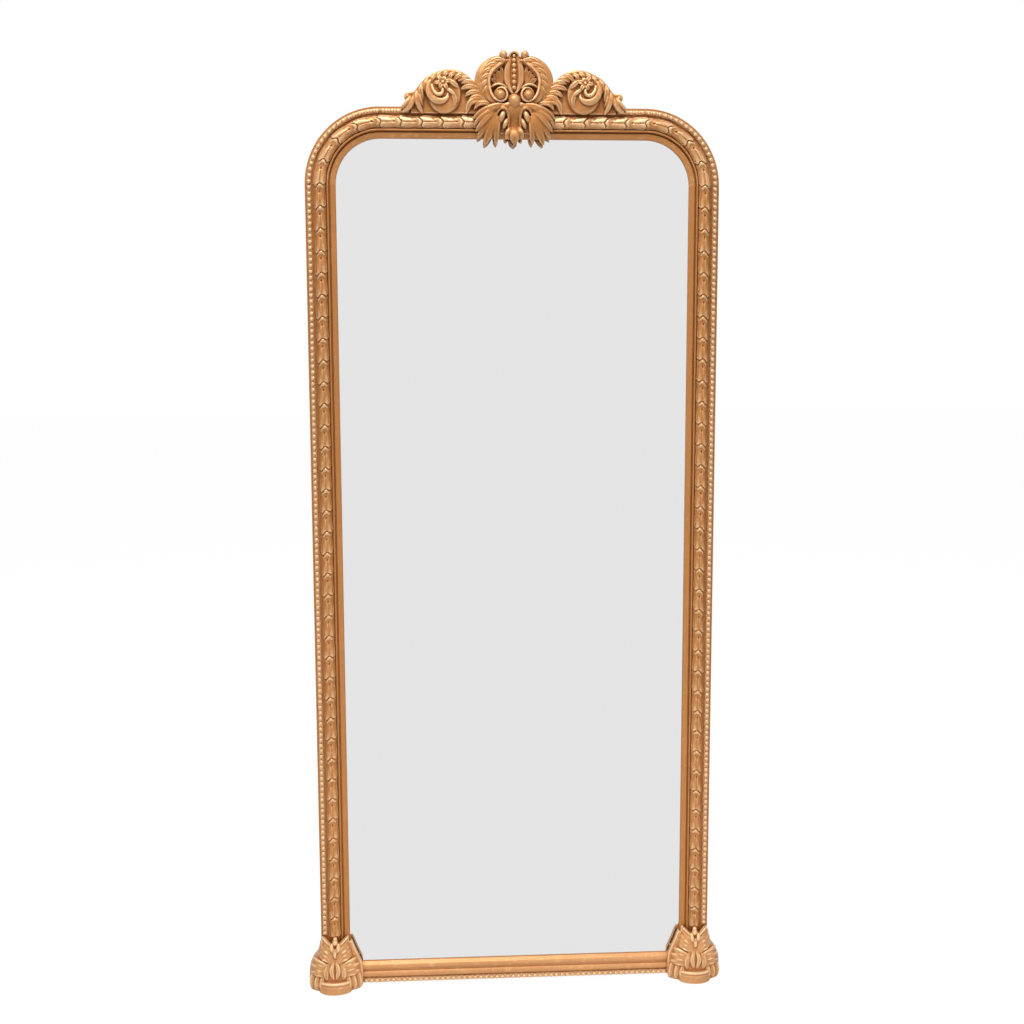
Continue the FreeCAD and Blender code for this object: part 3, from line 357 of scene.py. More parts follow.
def leaf_relief(along, across, pitch, vary, lip):
    """Height of the carved leaves over their half-round: across runs from -1 to 1."""
    side = np.abs(across)
    bracket = 0.06 * np.cos(2 * math.pi * (side - 0.45) / 0.9) - 0.05 * np.sin(2.4 * across)
    warped = along - bracket
    leaf = np.floor(warped)
    t = warped - leaf
    mm = t * pitch
    girth = across * LEAF_GIRTH
    vary = vary[(leaf.astype(int) + 1) % len(vary)]
    tail = smooth_step(t, LEAF_EYE, 0.52)
    belly = 1.5 * smooth_step(t, 0.3, 0.95) * vary
    cheeks = 0.5 * np.clip(np.cos(math.pi * (side - 0.42) / 0.84), 0, 1) * smooth_step(t, 0.35, 0.8)
    ledge = 3.0 * bell(mm - 5.4, 3.4) * bell(side - 0.1, 0.34) * vary
    brow = 0.9 * bell(mm - 9.0, 2.0) * bell(girth, 2.2)
    ears = 0.8 * bell(t - 0.2, 0.12) * bell(side - 0.78, 0.16)
    eye = 3.4 * bell(mm - LEAF_EYE * pitch, 2.1) * bell(girth, 1.7)
    fold = lip * (1 - smooth_step(girth, -1.6, 0.6)) * tail
    vein = (0.4 + lip) * bell(girth - 0.8, 1.2) * tail * (1 - smooth_step(t, 0.92, 1.0))
    waves = 0.5 + 0.5 * np.cos(2 * math.pi * (side * 2.4 + t * 0.9))
    flutes = 0.35 * waves * smooth_step(t, 0.45, 0.7)
    groove = (1.2 + lip) * np.exp(-mm / 1.5)
    nicks = (2.4 * bell(mm - 0.90 * pitch, 2.4) * bell((side - 0.62) * LEAF_GIRTH, 1.2)
             * np.where(across > 0, vary, 0.4))
    relief = belly + cheeks + ledge + brow + ears - eye + fold - vein - flutes - groove - nicks
    return relief * (1 - smooth_step(side, 0.88, 1.0))


def leaf_strip(line, length, radius, count, lip, seed):
    """A strip of overlapping leaves along a line of the frame."""
    rng = np.random.default_rng(seed)
    share = np.linspace(0, 1, int(length / LEAF_STEP))
    places, out = line(share)
    along, across = np.meshgrid(share * count, np.linspace(-1, 1, LEAF_COLUMNS), indexing="ij")
    vary = rng.uniform(*LEAF_VARIETY, count + 2)
    waver = (0.12 * np.sin(along * 5.1 + across * 3.0)
             + 0.1 * np.sin(along * 11.7 - across * 5.0 + 1.3))
    relief = leaf_relief(along, across, length / count, vary, lip)
    swell = radius + relief + waver * (1 - across ** 2)
    sideways = -LEAF_LINE - swell * np.sin(across * math.pi / 2)
    rise = SEAT + swell * np.cos(across * math.pi / 2)
    flat = places[:, None] + out[:, None] * sideways[:, :, None]
    strip = Carving()
    strip.loft(np.concatenate([flat, rise[:, :, None]], 2))
    return strip


# Pearl beading, in millimetres
RIBBON = 2.0                    # thickness of the flat under the pearls
RIBBON_STEP = 6                 # length between two sections of it
PEARL_LIFT = 1.5                # from the ribbon to a pearl's middle
PEARL_STRAY = 0.12              # how far a pearl strays from its place
PEARL_VARIETY = (0.96, 1.03)    # shares by which pearls differ in size
STILE_SEED, SHOULDER_SEED, TOP_SEED, BOTTOM_SEED = 11, 21, 31, 41


def pearl_strip(line, length, lie, sizes, seed):
    """A row of pearls on a flat ribbon along a line of the frame."""
    rng = np.random.default_rng(seed)
    count = max(1, round(length / (sizes.pearl_pitch / MM)))
    radius = sizes.pearl_radius / MM
    row = Carving()
    for place, away in zip(*line((np.arange(count) + 0.5) / count)):
        swell = radius * rng.uniform(*PEARL_VARIETY)
        x, z = (spot + rng.normal(0, PEARL_STRAY) for spot in place - away * lie)
        row.dome((x, z, SEAT + RIBBON + PEARL_LIFT), swell, swell, swell, turns=18, levels=10)
    sections = []
    for place, away in zip(*line(np.linspace(0, 1, max(2, int(length / RIBBON_STEP))))):
        inner, outer = place - away * (lie + radius), place - away * (lie - radius)
        sections.append([
            [*outer, SEAT], [*outer, SEAT + RIBBON], [*inner, SEAT + RIBBON], [*inner, SEAT]])
    row.loft(sections)
    return row


# Crest carving, left side; x, rise above the frame top and depth from the wall
def berries():
    """The two balls beside the tip."""
    balls = Carving(CREST_BASE)
    balls.dome((-21.5, 99.0, 64.0), 8.2, 8.0, 8.2, turns=40, levels=24)
    balls.both_sides()
    return balls


def bead_string():
    """Graded beads on a cord in the middle of the shell."""
    string = Carving(CREST_BASE)
    beads = (
        (97.0, 3.4), (88.4, 4.3), (78.2, 4.9), (67.6, 5.0), (56.8, 5.0), (45.8, 5.0), (34.4, 4.6))
    for rise, radius in beads:
        string.dome((0.0, rise, 63.4), radius, radius * 1.05, radius, turns=28, levels=18)
    string.stroke(raised([(0, 29), (0, 60), (0, 98)], 61.5), [1.8], [1.8], base=2.0)
    return string


def cartouche():
    """The shell with its two feathered cheeks, fluted hollow and pearled pod."""
    shell = Carving(CREST_BASE)
    outer = [(-13, 98), (-31, 97), (-41, 96), (-52, 90), (-62.5, 82), (-72, 68.5), (-77.5, 56),
             (-79, 44), (-76.5, 30), (-69.5, 16), (-58, 4), (-40, -2)]
    shell.plate([(2, 103), *outer, (2, -6)], SEAT, 56)
    cheek = [(-16, 92, 54), (-33, 88.5, 56), (-46, 80.5, 57.5), (-56, 70, 58.5), (-62, 58, 59),
             (-64, 46.5, 59), (-62, 33.5, 59), (-57, 20.5, 58), (-48, 9, 57), (-34, 3, 56)]
    shell.stroke(
        cheek, [6, 10, 13, 15, 16, 16, 15, 13, 10, 7], [6, 8, 8.5, 9, 9, 9, 9, 8.5, 8, 6], base=10)
    flank = [(-17, 89, 60), (-29, 83, 62), (-40, 75, 63.5), (-49, 66, 64), (-55, 56, 64.5),
             (-57.5, 47, 65), (-56, 34.5, 65), (-52, 22, 65), (-45, 11.5, 65), (-33, 5, 65)]
    shell.stroke(flank, [5, 7, 8.5, 9, 9, 9, 8.5, 8, 7, 6],
                 [3, 4, 4.6, 4.8, 4.8, 4.8, 4.8, 4.6, 4.6, 4], base=10)
    feathers = (
        ((-18, 88), (-36, 88.5), (-54, 80), 5.0), ((-30, 80), (-46, 78.5), (-62, 68), 5.0),
        ((-40, 71), (-54, 67.5), (-67.5, 56), 4.8), ((-47, 61), (-59, 55), (-70, 43.5), 4.6),
        ((-50, 49.5), (-60, 43), (-69, 31.5), 4.4), ((-50, 38), (-57, 31), (-63, 20.5), 4.0))
    shell.tongues(feathers, (68.5, 68.5, 64.5), rise=3.0, crease=0.5, base=8)
    for shift, depth in ((0.0, 63.0), (6.0, 65.0), (11.5, 66.0)):
        hem = [(-67 + shift, 24, depth), (-59 + shift, 11 + shift / 3, depth),
               (-46 + shift / 2, 2 + shift / 2, depth - 1), (-31, -0.5 + shift / 2, depth - 4)]
        shell.stroke(hem, [1.4, 2.4, 2.4, 1.4], [1.5, 2.4, 2.4, 1.5], base=8)
    rim = [
        (-13, 90, 63), (-21, 85.5, 66), (-30, 79.5, 68), (-41.5, 69.5, 69), (-48.5, 60, 69.5),
        (-51.2, 49, 70), (-50, 35, 70), (-46.5, 23, 71), (-40, 13, 72), (-29, 7.4, 73),
        (-18.5, 10.5, 73), (-14.6, 19.5, 73), (-17, 28.5, 72.5), (-24, 33.6, 71), (-34, 31.6, 69),
        (-39.5, 24.5, 67)]
    shell.stroke(
        rim, [1.8, 2.6, 3.0, 3.2, 3.2, 3.1, 2.9, 2.7, 2.6, 2.5, 2.5, 2.4, 2.3, 2.0, 1.6, 1.1],
        [1.4, 2.0, 2.2, 2.3, 2.3, 2.3, 2.3, 2.4, 2.4, 2.4, 2.4, 2.3, 2.2, 2.0, 1.8, 1.4], base=13)
    shell.dome((-28, 20, 62), 13.5, 13.5, 13)
    flutes = (
        ((-29, 40), (-39, 49), (-46, 54), 4.8), ((-28, 42), (-36, 56), (-42.5, 63), 5.0),
        ((-27, 43), (-30.5, 60), (-35.5, 71), 5.0), ((-25, 43), (-24.5, 62), (-26, 77.5), 4.6))
    shell.tongues(flutes, (57, 57, 61), rise=2.4, crease=0.7, base=6)
    brow = [(-48, 35, 64), (-40, 39.5, 66), (-31, 41.5, 67), (-22, 39, 67), (-15, 33, 66)]
    shell.stroke(brow, [1.5, 2.2, 2.4, 2.2, 1.5], [1.6, 2.4, 2.6, 2.4, 1.6], base=10)
    pod = [(1, 105), (-6, 101), (-12, 90), (-17.5, 75), (-20, 60), (-19.5, 48), (-16.5, 38),
           (-10, 30), (1, 22)]
    shell.plate(pod, SEAT, 60.5)
    husk = [(-4, 101, 59.5), (-9.5, 88, 60.5), (-13, 74, 61), (-14, 58, 61), (-12.5, 44, 61),
            (-8, 32, 61.5), (-3, 24, 62)]
    shell.stroke(
        husk, [3, 4.6, 5.8, 6.2, 5.8, 4.6, 2.4], [1.6, 2.2, 2.6, 2.8, 2.6, 2.4, 1.6], base=10)
    tip = [(-9.5, 93, 61), (-8.6, 99, 63), (-5, 103.6, 64), (1.5, 105.4, 64)]
    shell.stroke(tip, [1.6, 2.2, 2.6, 2.4], [1.6, 2.6, 3.4, 3.4], base=11)
    shell.both_sides()
    return shell


def scroll():
    """The leafy scroll with its medallion, flower and hanging tail."""
    lobe = Carving(CREST_BASE)
    edge = np.array([
        (-79, 43), (-84, 50), (-90, 56), (-99, 62), (-111, 67.5), (-127, 70.5), (-139, 70),
        (-151, 67), (-163, 61.5), (-175, 55.5), (-184, 47), (-192, 39), (-198, 31.5), (-204, 24)])
    lobe.plate([(-74, -14), (-74, 38), *edge, (-208, 12), (-208, -14)], SEAT, 53)
    inwards = unit(np.array((-141.0, 2.0)) - edge)
    lobe.stroke(raised(edge + inwards * 8.5, 55.0), [6, 8.4, 8.6, 8.6, 8.4, 8, 6],
                [5, 6, 6, 6, 6, 6, 4], base=9)
    lobe.stroke(raised(edge + inwards * 3.6, 58.0), [3, 4.2, 4.4, 4.4, 4.4, 4, 3],
                [3, 4.6, 5, 5, 5, 4.6, 3], base=9)
    fringe = (
        ((-87, 49), (-98, 54), (-113, 48), 4.6), ((-95, 57), (-109, 58.5), (-122.5, 48.5), 4.8),
        ((-113, 63.5), (-127, 58.5), (-129, 45), 4.6),
        ((-127, 65.5), (-137.5, 61.5), (-142.5, 52), 4.8),
        ((-141, 64.5), (-151.5, 58.5), (-156, 44.5), 4.6),
        ((-154.5, 60), (-163, 53), (-169, 42), 4.2),
        ((-168, 53.5), (-177.5, 43), (-178.5, 25.5), 5.0),
        ((-180, 45.5), (-187.5, 31), (-184.5, 10), 5.4))
    lobe.tongues(fringe, (58, 62.5, 60), rise=4.6, crease=0.3)
    turn = np.radians(np.linspace(0, 360, 61))[:-1]
    middle, half_width, half_height = (-141, 22), 33, 37.5
    for swell, front in ((1.0, 61.5), (0.95, 63.2), (0.88, 63.8)):
        oval = np.c_[half_width * swell * np.cos(turn), half_height * swell * np.sin(turn)]
        lobe.plate(oval + middle, SEAT, front)
    stem = [(-169, 48, 64), (-173, 33, 65), (-168, 17, 66), (-155, 8, 66.5), (-142, 9, 66),
            (-134, 17, 65), (-134, 24, 64)]
    lobe.stroke(
        stem, [3.4, 5.0, 6.2, 7.0, 6.6, 4.6, 1.6], [2.6, 3.6, 4.2, 4.4, 4.0, 3.0, 1.4], base=8)
    curl = [(-166, 40, 65), (-162, 27, 67), (-154, 20, 68), (-146, 22, 68), (-144, 30, 67),
            (-151, 34.5, 66)]
    lobe.stroke(curl, [2.4, 3.6, 4.0, 3.8, 3.2, 2.0], [2.4, 3.4, 3.8, 3.6, 3.0, 2.0], base=8)
    lobe.tongue(
        [(-130, 30, 63.5), (-122, 20, 65), (-119, 8, 64.5), (-124, -3, 62.5)], 5.0, rise=2.6,
        base=6, crease=0.3)
    lobe.tongue(
        [(-139, 34, 65.5), (-127, 26, 66.5), (-117, 17, 64.5)], 4.2, rise=3.4, base=7, crease=0.1)
    lobe.tongue(
        [(-133, 50, 65.5), (-122, 42, 66.5), (-112, 34, 63)], 5.0, rise=3.2, base=7, crease=0.3)
    flower = np.array([-143.5, 44.0])
    petals = ((12, 15, 4.4), (68, 12, 4.0), (128, 16, 4.6), (186, 17, 4.2), (240, 14, 4.4),
              (306, 16, 4.6))
    for angle, length, width in petals:
        out = np.array([math.cos(math.radians(angle)), math.sin(math.radians(angle))])
        spots = [flower + out * length * share for share in (0.15, 0.6, 1.0)]
        lobe.tongue(raised(spots, (66, 68, 66)), width, rise=3.8, crease=0.5)
    lobe.dome((*flower, 68), 3.6, 3.6, 4.5)
    tails = (
        ((-190, 36), (-196.5, 17), (-192, -1), (-184.5, -15), 5.6),
        ((-197, 28), (-205, 7), (-214, -6), (-226, -13), 5.6),
        ((-206, 20), (-213, 9), (-220, 1), (-229, -5), 4.4),
        ((-186, 34), (-190, 20), (-188, 8), (-184, 0), 3.6))
    lobe.tongues(tails, (57, 61.5, 61, 54), rise=5.2, crease=0.12)
    hook = [(-200, 22, 54), (-208, 23, 56), (-215.5, 22, 57), (-218.5, 17, 57), (-215.5, 12.5, 57),
            (-211, 13.5, 57)]
    lobe.stroke(hook, [4, 4, 4, 3.8, 3.4, 2.6], [4, 4.6, 5, 5, 4.6, 4], base=7)
    lobe.dome((-214, 17.2, 57), 5.2, 5.2, 6)
    return lobe


def spray():
    """The curled leaves between the shell and the scroll."""
    leaves = Carving(CREST_BASE)
    ground = [(-46, -12), (-50, 6), (-66, 20), (-76, 40), (-92, 38), (-94, 20), (-92, -12)]
    leaves.plate(ground, SEAT, SEAT + 10)
    curls = (
        ((-72, 38), (-86, 45), (-96, 46.5), (-107, 44), 5.2),
        ((-66, 28), (-80, 35), (-94, 36.5), (-107.5, 32.5), 5.6),
        ((-62, 19.5), (-76, 25.5), (-88, 25), (-99, 19), 5.4),
        ((-56, 11), (-71, 16.5), (-84, 14.5), (-92, 6.5), 5.2),
        ((-50, 3), (-69, 9.5), (-87, 6.5), (-97, -15.5), 6.4),
        ((-38, -2), (-58, 4.5), (-72, 2.5), (-81, -7), 5.2))
    leaves.tongues(curls, (58, 62.5, 63, 57), rise=5.0, crease=0.3)
    return leaves


def drop():
    """The acanthus leaf that hangs over the glass, with its hooded buds and pointed tongue."""
    leaf = Carving(CREST_BASE)
    apron = [
        (2, 4), (-28, 1), (-50, -6), (-66, -14), (-70, -30), (-58, -50), (-44, -56), (-30, -56),
        (-12, -52), (2, -54)]
    leaf.plate(apron, 57, 61)
    leaf.plate([(2, 4), (-56, 0), (-56, -36), (2, -36)], SEAT, 60)
    hanging = (
        ((-30, -26), (-34, -40), (-36, -53), (-36.5, -64), (-37, -75), 6.2),
        ((-33, -22), (-41, -36), (-49, -50), (-54.5, -63), (-60, -76), 8.4),
        ((-36, -17), (-47, -29), (-58, -41), (-67, -53), (-74, -64), 6.8))
    leaf.tongues(hanging, (72.5, 72, 68.5, 63.5, 57), rise=4.2, crease=0.22)
    spreading = (
        ((-37, -13), (-48, -20), (-59, -30), (-69.5, -41), (-78, -51), 5.6),
        ((-35, -9), (-47, -12), (-60, -19.5), (-72, -28.5), (-82, -39), 5.4),
        ((-14, -1), (-34, -2.5), (-50, -7.5), (-67, -15), (-84, -26), 7.2))
    leaf.tongues(spreading, (71, 74, 73.5, 69, 60), rise=4.2, crease=0.14)
    buds = (((-20.5, -11), (-25, -23), (-30.5, -36), 5.6),
            ((-14.5, -27), (-18.5, -37), (-22.5, -46.5), 4.4))
    leaf.tongues(buds, (70, 73.5, 70), rise=5.0, crease=0.0)
    hood = [(-37, -24, 68), (-34.5, -15.5, 71), (-29.5, -8.2, 73), (-22, -6, 74), (-15.5, -9.5, 73),
            (-12, -20, 71), (-11.5, -34, 69), (-13.5, -48, 68)]
    leaf.stroke(
        hood, [1.6, 2.6, 3.2, 3.4, 3.2, 2.4, 2.2, 1.6], [2, 2.6, 3, 3.4, 3, 2.6, 2.4, 1.6], base=9)
    leaf.stroke(
        [(-2, 1.5, 71), (-12, -0.5, 73), (-26, -2.5, 73)], [7, 5.5, 3.5], [3.6, 3.8, 2.6], base=9)
    leaf.tongue(
        [(-8, -42, 66), (-13, -53, 71), (-16.5, -66, 65)], 5.4, rise=3.8, base=8, crease=0.1)
    leaf.both_sides()
    spine = [(0, 5, 67), (0, -7, 73.5), (0, -15, 73), (0, -28, 66.5), (0, -40, 64), (0, -52, 68)]
    leaf.stroke(spine, [15, 14, 11.5, 11, 12.5, 14], [3.8, 3.8, 3.2, 2.0, 1.8, 2.2], base=9)
    point = [(0, -44, 66.5), (0, -55, 72.5), (0, -66, 72.5), (0, -77, 64)]
    leaf.stroke(point, [6, 9.0, 10.0, 8.0, 1.5], [2, 3.8, 4.6, 3.8, 1], base=9)
    leaf.dome((0, 7, 60), 15.5, 17, 12)
    return leaf


# Feet, from the left foot's middle: heights, then half widths and reaches forwards at each
FOOT_LEVELS = (0.0, 12.0, 30.0, 50.0, 64.0, 78.0, 92.0, 104.0)
FOOT_WIDTHS = (55.5, 57.0, 58.0, 57.0, 51.0, 40.0, 36.0, 32.0)
FOOT_REACHES = (24.0, 27.0, 29.0, 30.0, 28.0, 25.0, 21.0, 15.0)
FOOT_CLEARANCE = 0.6      # from the floor to the carving


def on_foot(*spots):
    """Points over the foot's bowed front, from places across, heights and lifts."""
    points = []
    for across, z, lift in spots:
        width = np.interp(z, FOOT_LEVELS, FOOT_WIDTHS)
        reach = np.interp(z, FOOT_LEVELS, FOOT_REACHES)
        bow = math.sqrt(max(0.0, 1 - (across / width) ** 2))
        points.append((across, z, SEAT + reach * bow + lift))
    return points


def veined_leaves(cup, rows, lifts, spread, fall, vein, vein_rise):
    """Leaves over the foot, each with a raised vein below its middle line."""
    for *places, width in rows:
        cup.tongue(on_foot(*raised(places, lifts)), width, rise=3.4, crease=0.28)
        (x, z), (end_x, end_z) = places[1:3]
        spots = on_foot(
            (x - spread, z - fall, lifts[1] + 1),
            ((x + end_x) / 2, (z + end_z) / 2 - fall, lifts[1] + 2),
            (end_x + spread, end_z - fall - 1, lifts[2]))
        cup.tongue(spots, vein * width, rise=vein_rise, base=6, crease=0.0)


def foot():
    """The leaf-carved block of the left foot: a wrapped cup of acanthus under two raised wings."""
    block = Carving(FOOT_BASE)
    turn = np.linspace(0, math.pi, 25)
    front, side = [], []
    for z, width, reach in zip(FOOT_LEVELS, FOOT_WIDTHS, FOOT_REACHES):
        level = max(z, FOOT_CLEARANCE)
        arc = np.c_[width * np.cos(turn), np.full(len(turn), level)]
        front.append(raised(arc, SEAT + 1 + reach * np.sin(turn)))
        side.append([[-31.5, level, 15], [-31.5, level, 50], [-width + 4, level, 50],
                     [-width, level, 42], [-width, level, 22], [-width + 4, level, 15]])
    block.loft(front)
    block.loft(side)
    cheek = [
        (30, 108), (35, 112), (38.5, 105), (42.5, 94), (50, 76), (57, 60), (58.5, 40), (58.5, 8),
        (30, 8)]
    horns = [
        (-29, 116), (-31, 104), (-20, 88), (20, 88), (31, 104), (29, 116), (12, 104), (-12, 104)]
    for ground in (cheek, horns):
        block.plate(ground, 46.5, 57)
    cup = Carving(FOOT_BASE)
    wing = (
        ((2, 82), (9, 95), (18, 107), (28.5, 120), 7.0),
        ((4, 78), (14, 89), (24, 98), (33, 107), 6.2),
        ((5, 72), (16, 82), (26, 89), (35.5, 95), 6.0),
        ((6, 66), (17, 75), (28, 80), (38.5, 82), 6.0))
    veined_leaves(cup, wing, (1, 3, 3.5, 1), spread=2, fall=3, vein=0.42, vein_rise=2.8)
    cup.stroke(
        on_foot((5, 96, 4), (12, 105, 6), (20, 113, 6), (28, 119.5, 5)), [1.2, 2.0, 2.2, 1.4],
        [1.6, 2.4, 2.6, 1.6], base=8)
    lower = (
        ((11, 57), (24, 63), (38, 67), (51, 68), 7.2),
        ((12, 47), (27, 53), (42, 56), (55, 54), 7.4),
        ((18, 38), (30, 43), (43, 44.5), (53.5, 40), 6.4))
    veined_leaves(cup, lower, (1, 2.5, 3, -1), spread=3, fall=2.5, vein=0.40, vein_rise=2.7)
    for across, top, width in ((51.0, 42, 6.0), (40.0, 40, 6.2), (29.5, 40, 5.6)):
        spots = on_foot((across - 2.5, top, 0.5), (across, top * 0.55, 2), (across + 0.5, 3, 1))
        cup.tongue(spots, width, rise=4.0, crease=0.25)
    cup.tongue(on_foot((13, 66, 1), (19, 51, 3), (17.5, 30, 1.5)), 6.0, rise=3.4, crease=0.25)
    cup.tongue(on_foot((3, 70, 1), (7.5, 53, 3.5), (3, 32, 1.5)), 5.0, rise=3.8, crease=0.2)
    cup.tongue(on_foot((3, 88, 3), (7, 98, 6), (7.5, 108, 4)), 4.6, rise=4.0, crease=0.0)
    cup.both_sides()
    block.join(cup.points, cup.faces)
    block.stroke(on_foot((0, 79, 2), (0, 88, 5), (0, 97, 4.5)), [2.6, 4.0, 2.6], [2.6, 3.6, 2.6])
    block.dome((0, 109, 60), 6.4, 8.0, 7.5)
    block.dome((0, 117, 59), 4.8, 3.6, 5.5)
    for across, depth in ((-53.6, 40), (-54.0, 29.5), (-53.6, 19.5)):
        block.stroke(raised([(across + 4, 3), (across, 22), (across + 2, 44)], depth),
                     [4.6, 5.4, 3.4], [3.0, 3.8, 2.4], base=4)
    return block


def plinth():
    """The half-round drum under the front of the left foot, with its rim."""
    low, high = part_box("left_plinth")
    half = (high.x - low.x) / 2 / MM
    height = high.z / MM
    front, back = (WALL_Y - y / MM for y in (low.y, high.y))
    bow = 25.0
    turn = np.linspace(0, math.pi, 33)
    # Each section's share of the height and how far it lies inside the drum
    sections = ((0.0, 1.4), (0.04, 0.4), (0.1, 0.9), (0.66, 0.9), (0.7, 2.2), (0.74, 2.2),
                (0.79, 0.5), (0.87, 0.0), (0.95, 0.5), (1.0, 2.6))
    rings = []
    for share, inset in sections:
        z = share * height
        arc = np.c_[(half - inset) * np.cos(turn), np.full(len(turn), z)]
        arc = raised(arc, front - bow + (bow - inset) * np.sin(turn))
        rings.append(np.concatenate([arc, [[-half + inset, z, back], [half - inset, z, back]]]))
    drum = Carving(FOOT_BASE)
    drum.loft(rings)
    return drum


# Shader maths
class Value:
    """A socket's value, so that shader maths reads as arithmetic."""

    def __init__(self, finish, socket):
        self.finish = finish
        self.socket = socket

    def math(self, operation, first, second):
        """One step of arithmetic on two values or numbers."""
        return self.finish.add("ShaderNodeMath", {"operation": operation}, {0: first, 1: second})

    def __add__(self, other):
        return self.math("ADD", self, other)

    def __radd__(self, other):
        return self.math("ADD", other, self)

    def __sub__(self, other):
        return self.math("SUBTRACT", self, other)

    def __rsub__(self, other):
        return self.math("SUBTRACT", other, self)

    def __mul__(self, other):
        return self.math("MULTIPLY", self, other)

    def __rmul__(self, other):
        return self.math("MULTIPLY", other, self)

    def held(self):
        """The value, kept from 0 to 1."""
        return self.math("MINIMUM", self.math("MAXIMUM", self, 0.0), 1.0)

    def ramp(self, low, high):
        """0 at low, 1 at high, held between."""
        return self.finish.add(
            "ShaderNodeMapRange", {"clamp": True},
            {"Value": self, "From Min": low, "From Max": high})


class Finish:
    """The nodes of a material or of the world, built one by one."""

    def __init__(self, owner, output="ShaderNodeOutputMaterial"):
        owner.use_nodes = True
        self.owner = owner
        self.tree = owner.node_tree
        self.tree.nodes.clear()
        self.output = self.tree.nodes.new(output)

    def add(self, kind, settings=None, inputs=None, output=0):
        """A node with its settings, then its sockets' values or links."""
        node = self.tree.nodes.new(kind)
        for setting, value in (settings or {}).items():
            setattr(node, setting, value)
        for key, value in (inputs or {}).items():
            if isinstance(value, Value):
                self.tree.links.new(value.socket, node.inputs[key])
            else:
                node.inputs[key].default_value = value
        return Value(self, node.outputs[output])

    def place(self):
        """The place on the piece."""
        return self.add("ShaderNodeTexCoord", None, None, "Object")

    def part(self, place, axis):
        """One coordinate of a place."""
        return self.add("ShaderNodeSeparateXYZ", None, {"Vector": place}, axis)

    def stretched(self, place, scale):
        """The place, scaled on each axis."""
        return self.add("ShaderNodeVectorMath", {"operation": "MULTIPLY"}, {0: place, 1: scale})

    def noise(self, place, scale, detail, roughness=0.5):
        """Clouds from 0 to 1, scale to the metre."""
        return self.add(
            "ShaderNodeTexNoise", None,
            {"Vector": place, "Scale": scale, "Detail": detail, "Roughness": roughness})

    def open_air(self, distance):
        """How open the surface lies, 0 where it is closed in; the gildings darken by it as painted
        shade.
        """
        return self.add("ShaderNodeAmbientOcclusion", {"samples": 6}, {"Distance": distance}, "AO")

    def rays(self):
        """Whether the eye, a reflection and a clear piece are looking, each 1 or 0."""
        return [self.add("ShaderNodeLightPath", None, None, f"Is {kind} Ray")
                for kind in ("Camera", "Glossy", "Transmission")]

    def mix(self, share, first, second):
        """A blend of two colours, each a property or a value."""
        first, second = (shade if isinstance(shade, Value) else (*shade, 1.0)
                         for shade in (first, second))
        return self.add("ShaderNodeMix", {"data_type": "RGBA"}, {0: share, 6: first, 7: second}, 2)

    def blend(self, share, first, second):
        """A blend of two shaders."""
        return self.add("ShaderNodeMixShader", None, {0: share, 1: first, 2: second})

    def glow(self, kind, shade, strength):
        """A plain colour that shines by itself, on a surface or as the world."""
        return self.add(kind, None, {"Color": (*shade, 1.0), "Strength": strength})

    def bump(self, height, strength, distance):
        """Fine relief."""
        return self.add(
            "ShaderNodeBump", None, {"Height": height, "Strength": strength, "Distance": distance})

    def shown(self, shader):
        """The material or world, with its last shader."""
        self.tree.links.new(shader.socket, self.output.inputs["Surface"])
        return self.owner

    def principled(self, inputs):
        """The material, with a principled shader of these inputs."""
        return self.shown(self.add("ShaderNodeBsdfPrincipled", None, inputs))


# Finishes
# Darkening of each copy of the gilding, set piece by piece: painted shade on parts that lie darker
# under the light, painted light below 0 on parts that lie lighter
PAINTED_DARKENING = {"painted_dark": 0.5, "mid_tone": 0.0, "painted_bright": -0.5}
GILT_METAL = 0.32               # how metallic clean leaf is
GILT_SHEEN = 0.2                # its clear reflection
GILT_BACK = 0.027               # where the gilding ends, forwards from the wall, in metres
PATCHES = (11.0, 3.0, 0.5)      # scale, detail and roughness of the noises
MOTTLE = (95.0, 4.0, 0.6)
LEAF_GRAIN = (520.0, 3.0, 0.65)
FACE_GRAIN = (420.0, 3.0, 0.65)
GRAIN_UPRIGHT, GRAIN_ACROSS = (1.0, 1.0, 0.05), (0.05, 1.0, 1.0)
BRASS_ROUGHNESS, STEEL_ROUGHNESS = 0.3, 0.35


def gold_leaf(finish, place, colours, tarnish_and_painted_shade, grain, wear_and_painted_highlight, dirt_and_painted_shade):
    """The colour of gold leaf: thin in patches, pale with wear and painted highlight, clay with
    dirt and painted shade.
    """
    patches = finish.noise(place, *PATCHES)
    # The copy's painted shade darkens the leaf; below 0 it is painted light
    thick = (patches - 0.35) * 1.8 + (grain - 0.5) * 0.5 - tarnish_and_painted_shade * 0.6
    leaf = finish.mix(thick, colours.deep_gold, colours.gold)
    leaf = finish.mix(wear_and_painted_highlight, leaf, colours.pale_gold)
    return finish.mix(dirt_and_painted_shade * 0.92, leaf, colours.clay)


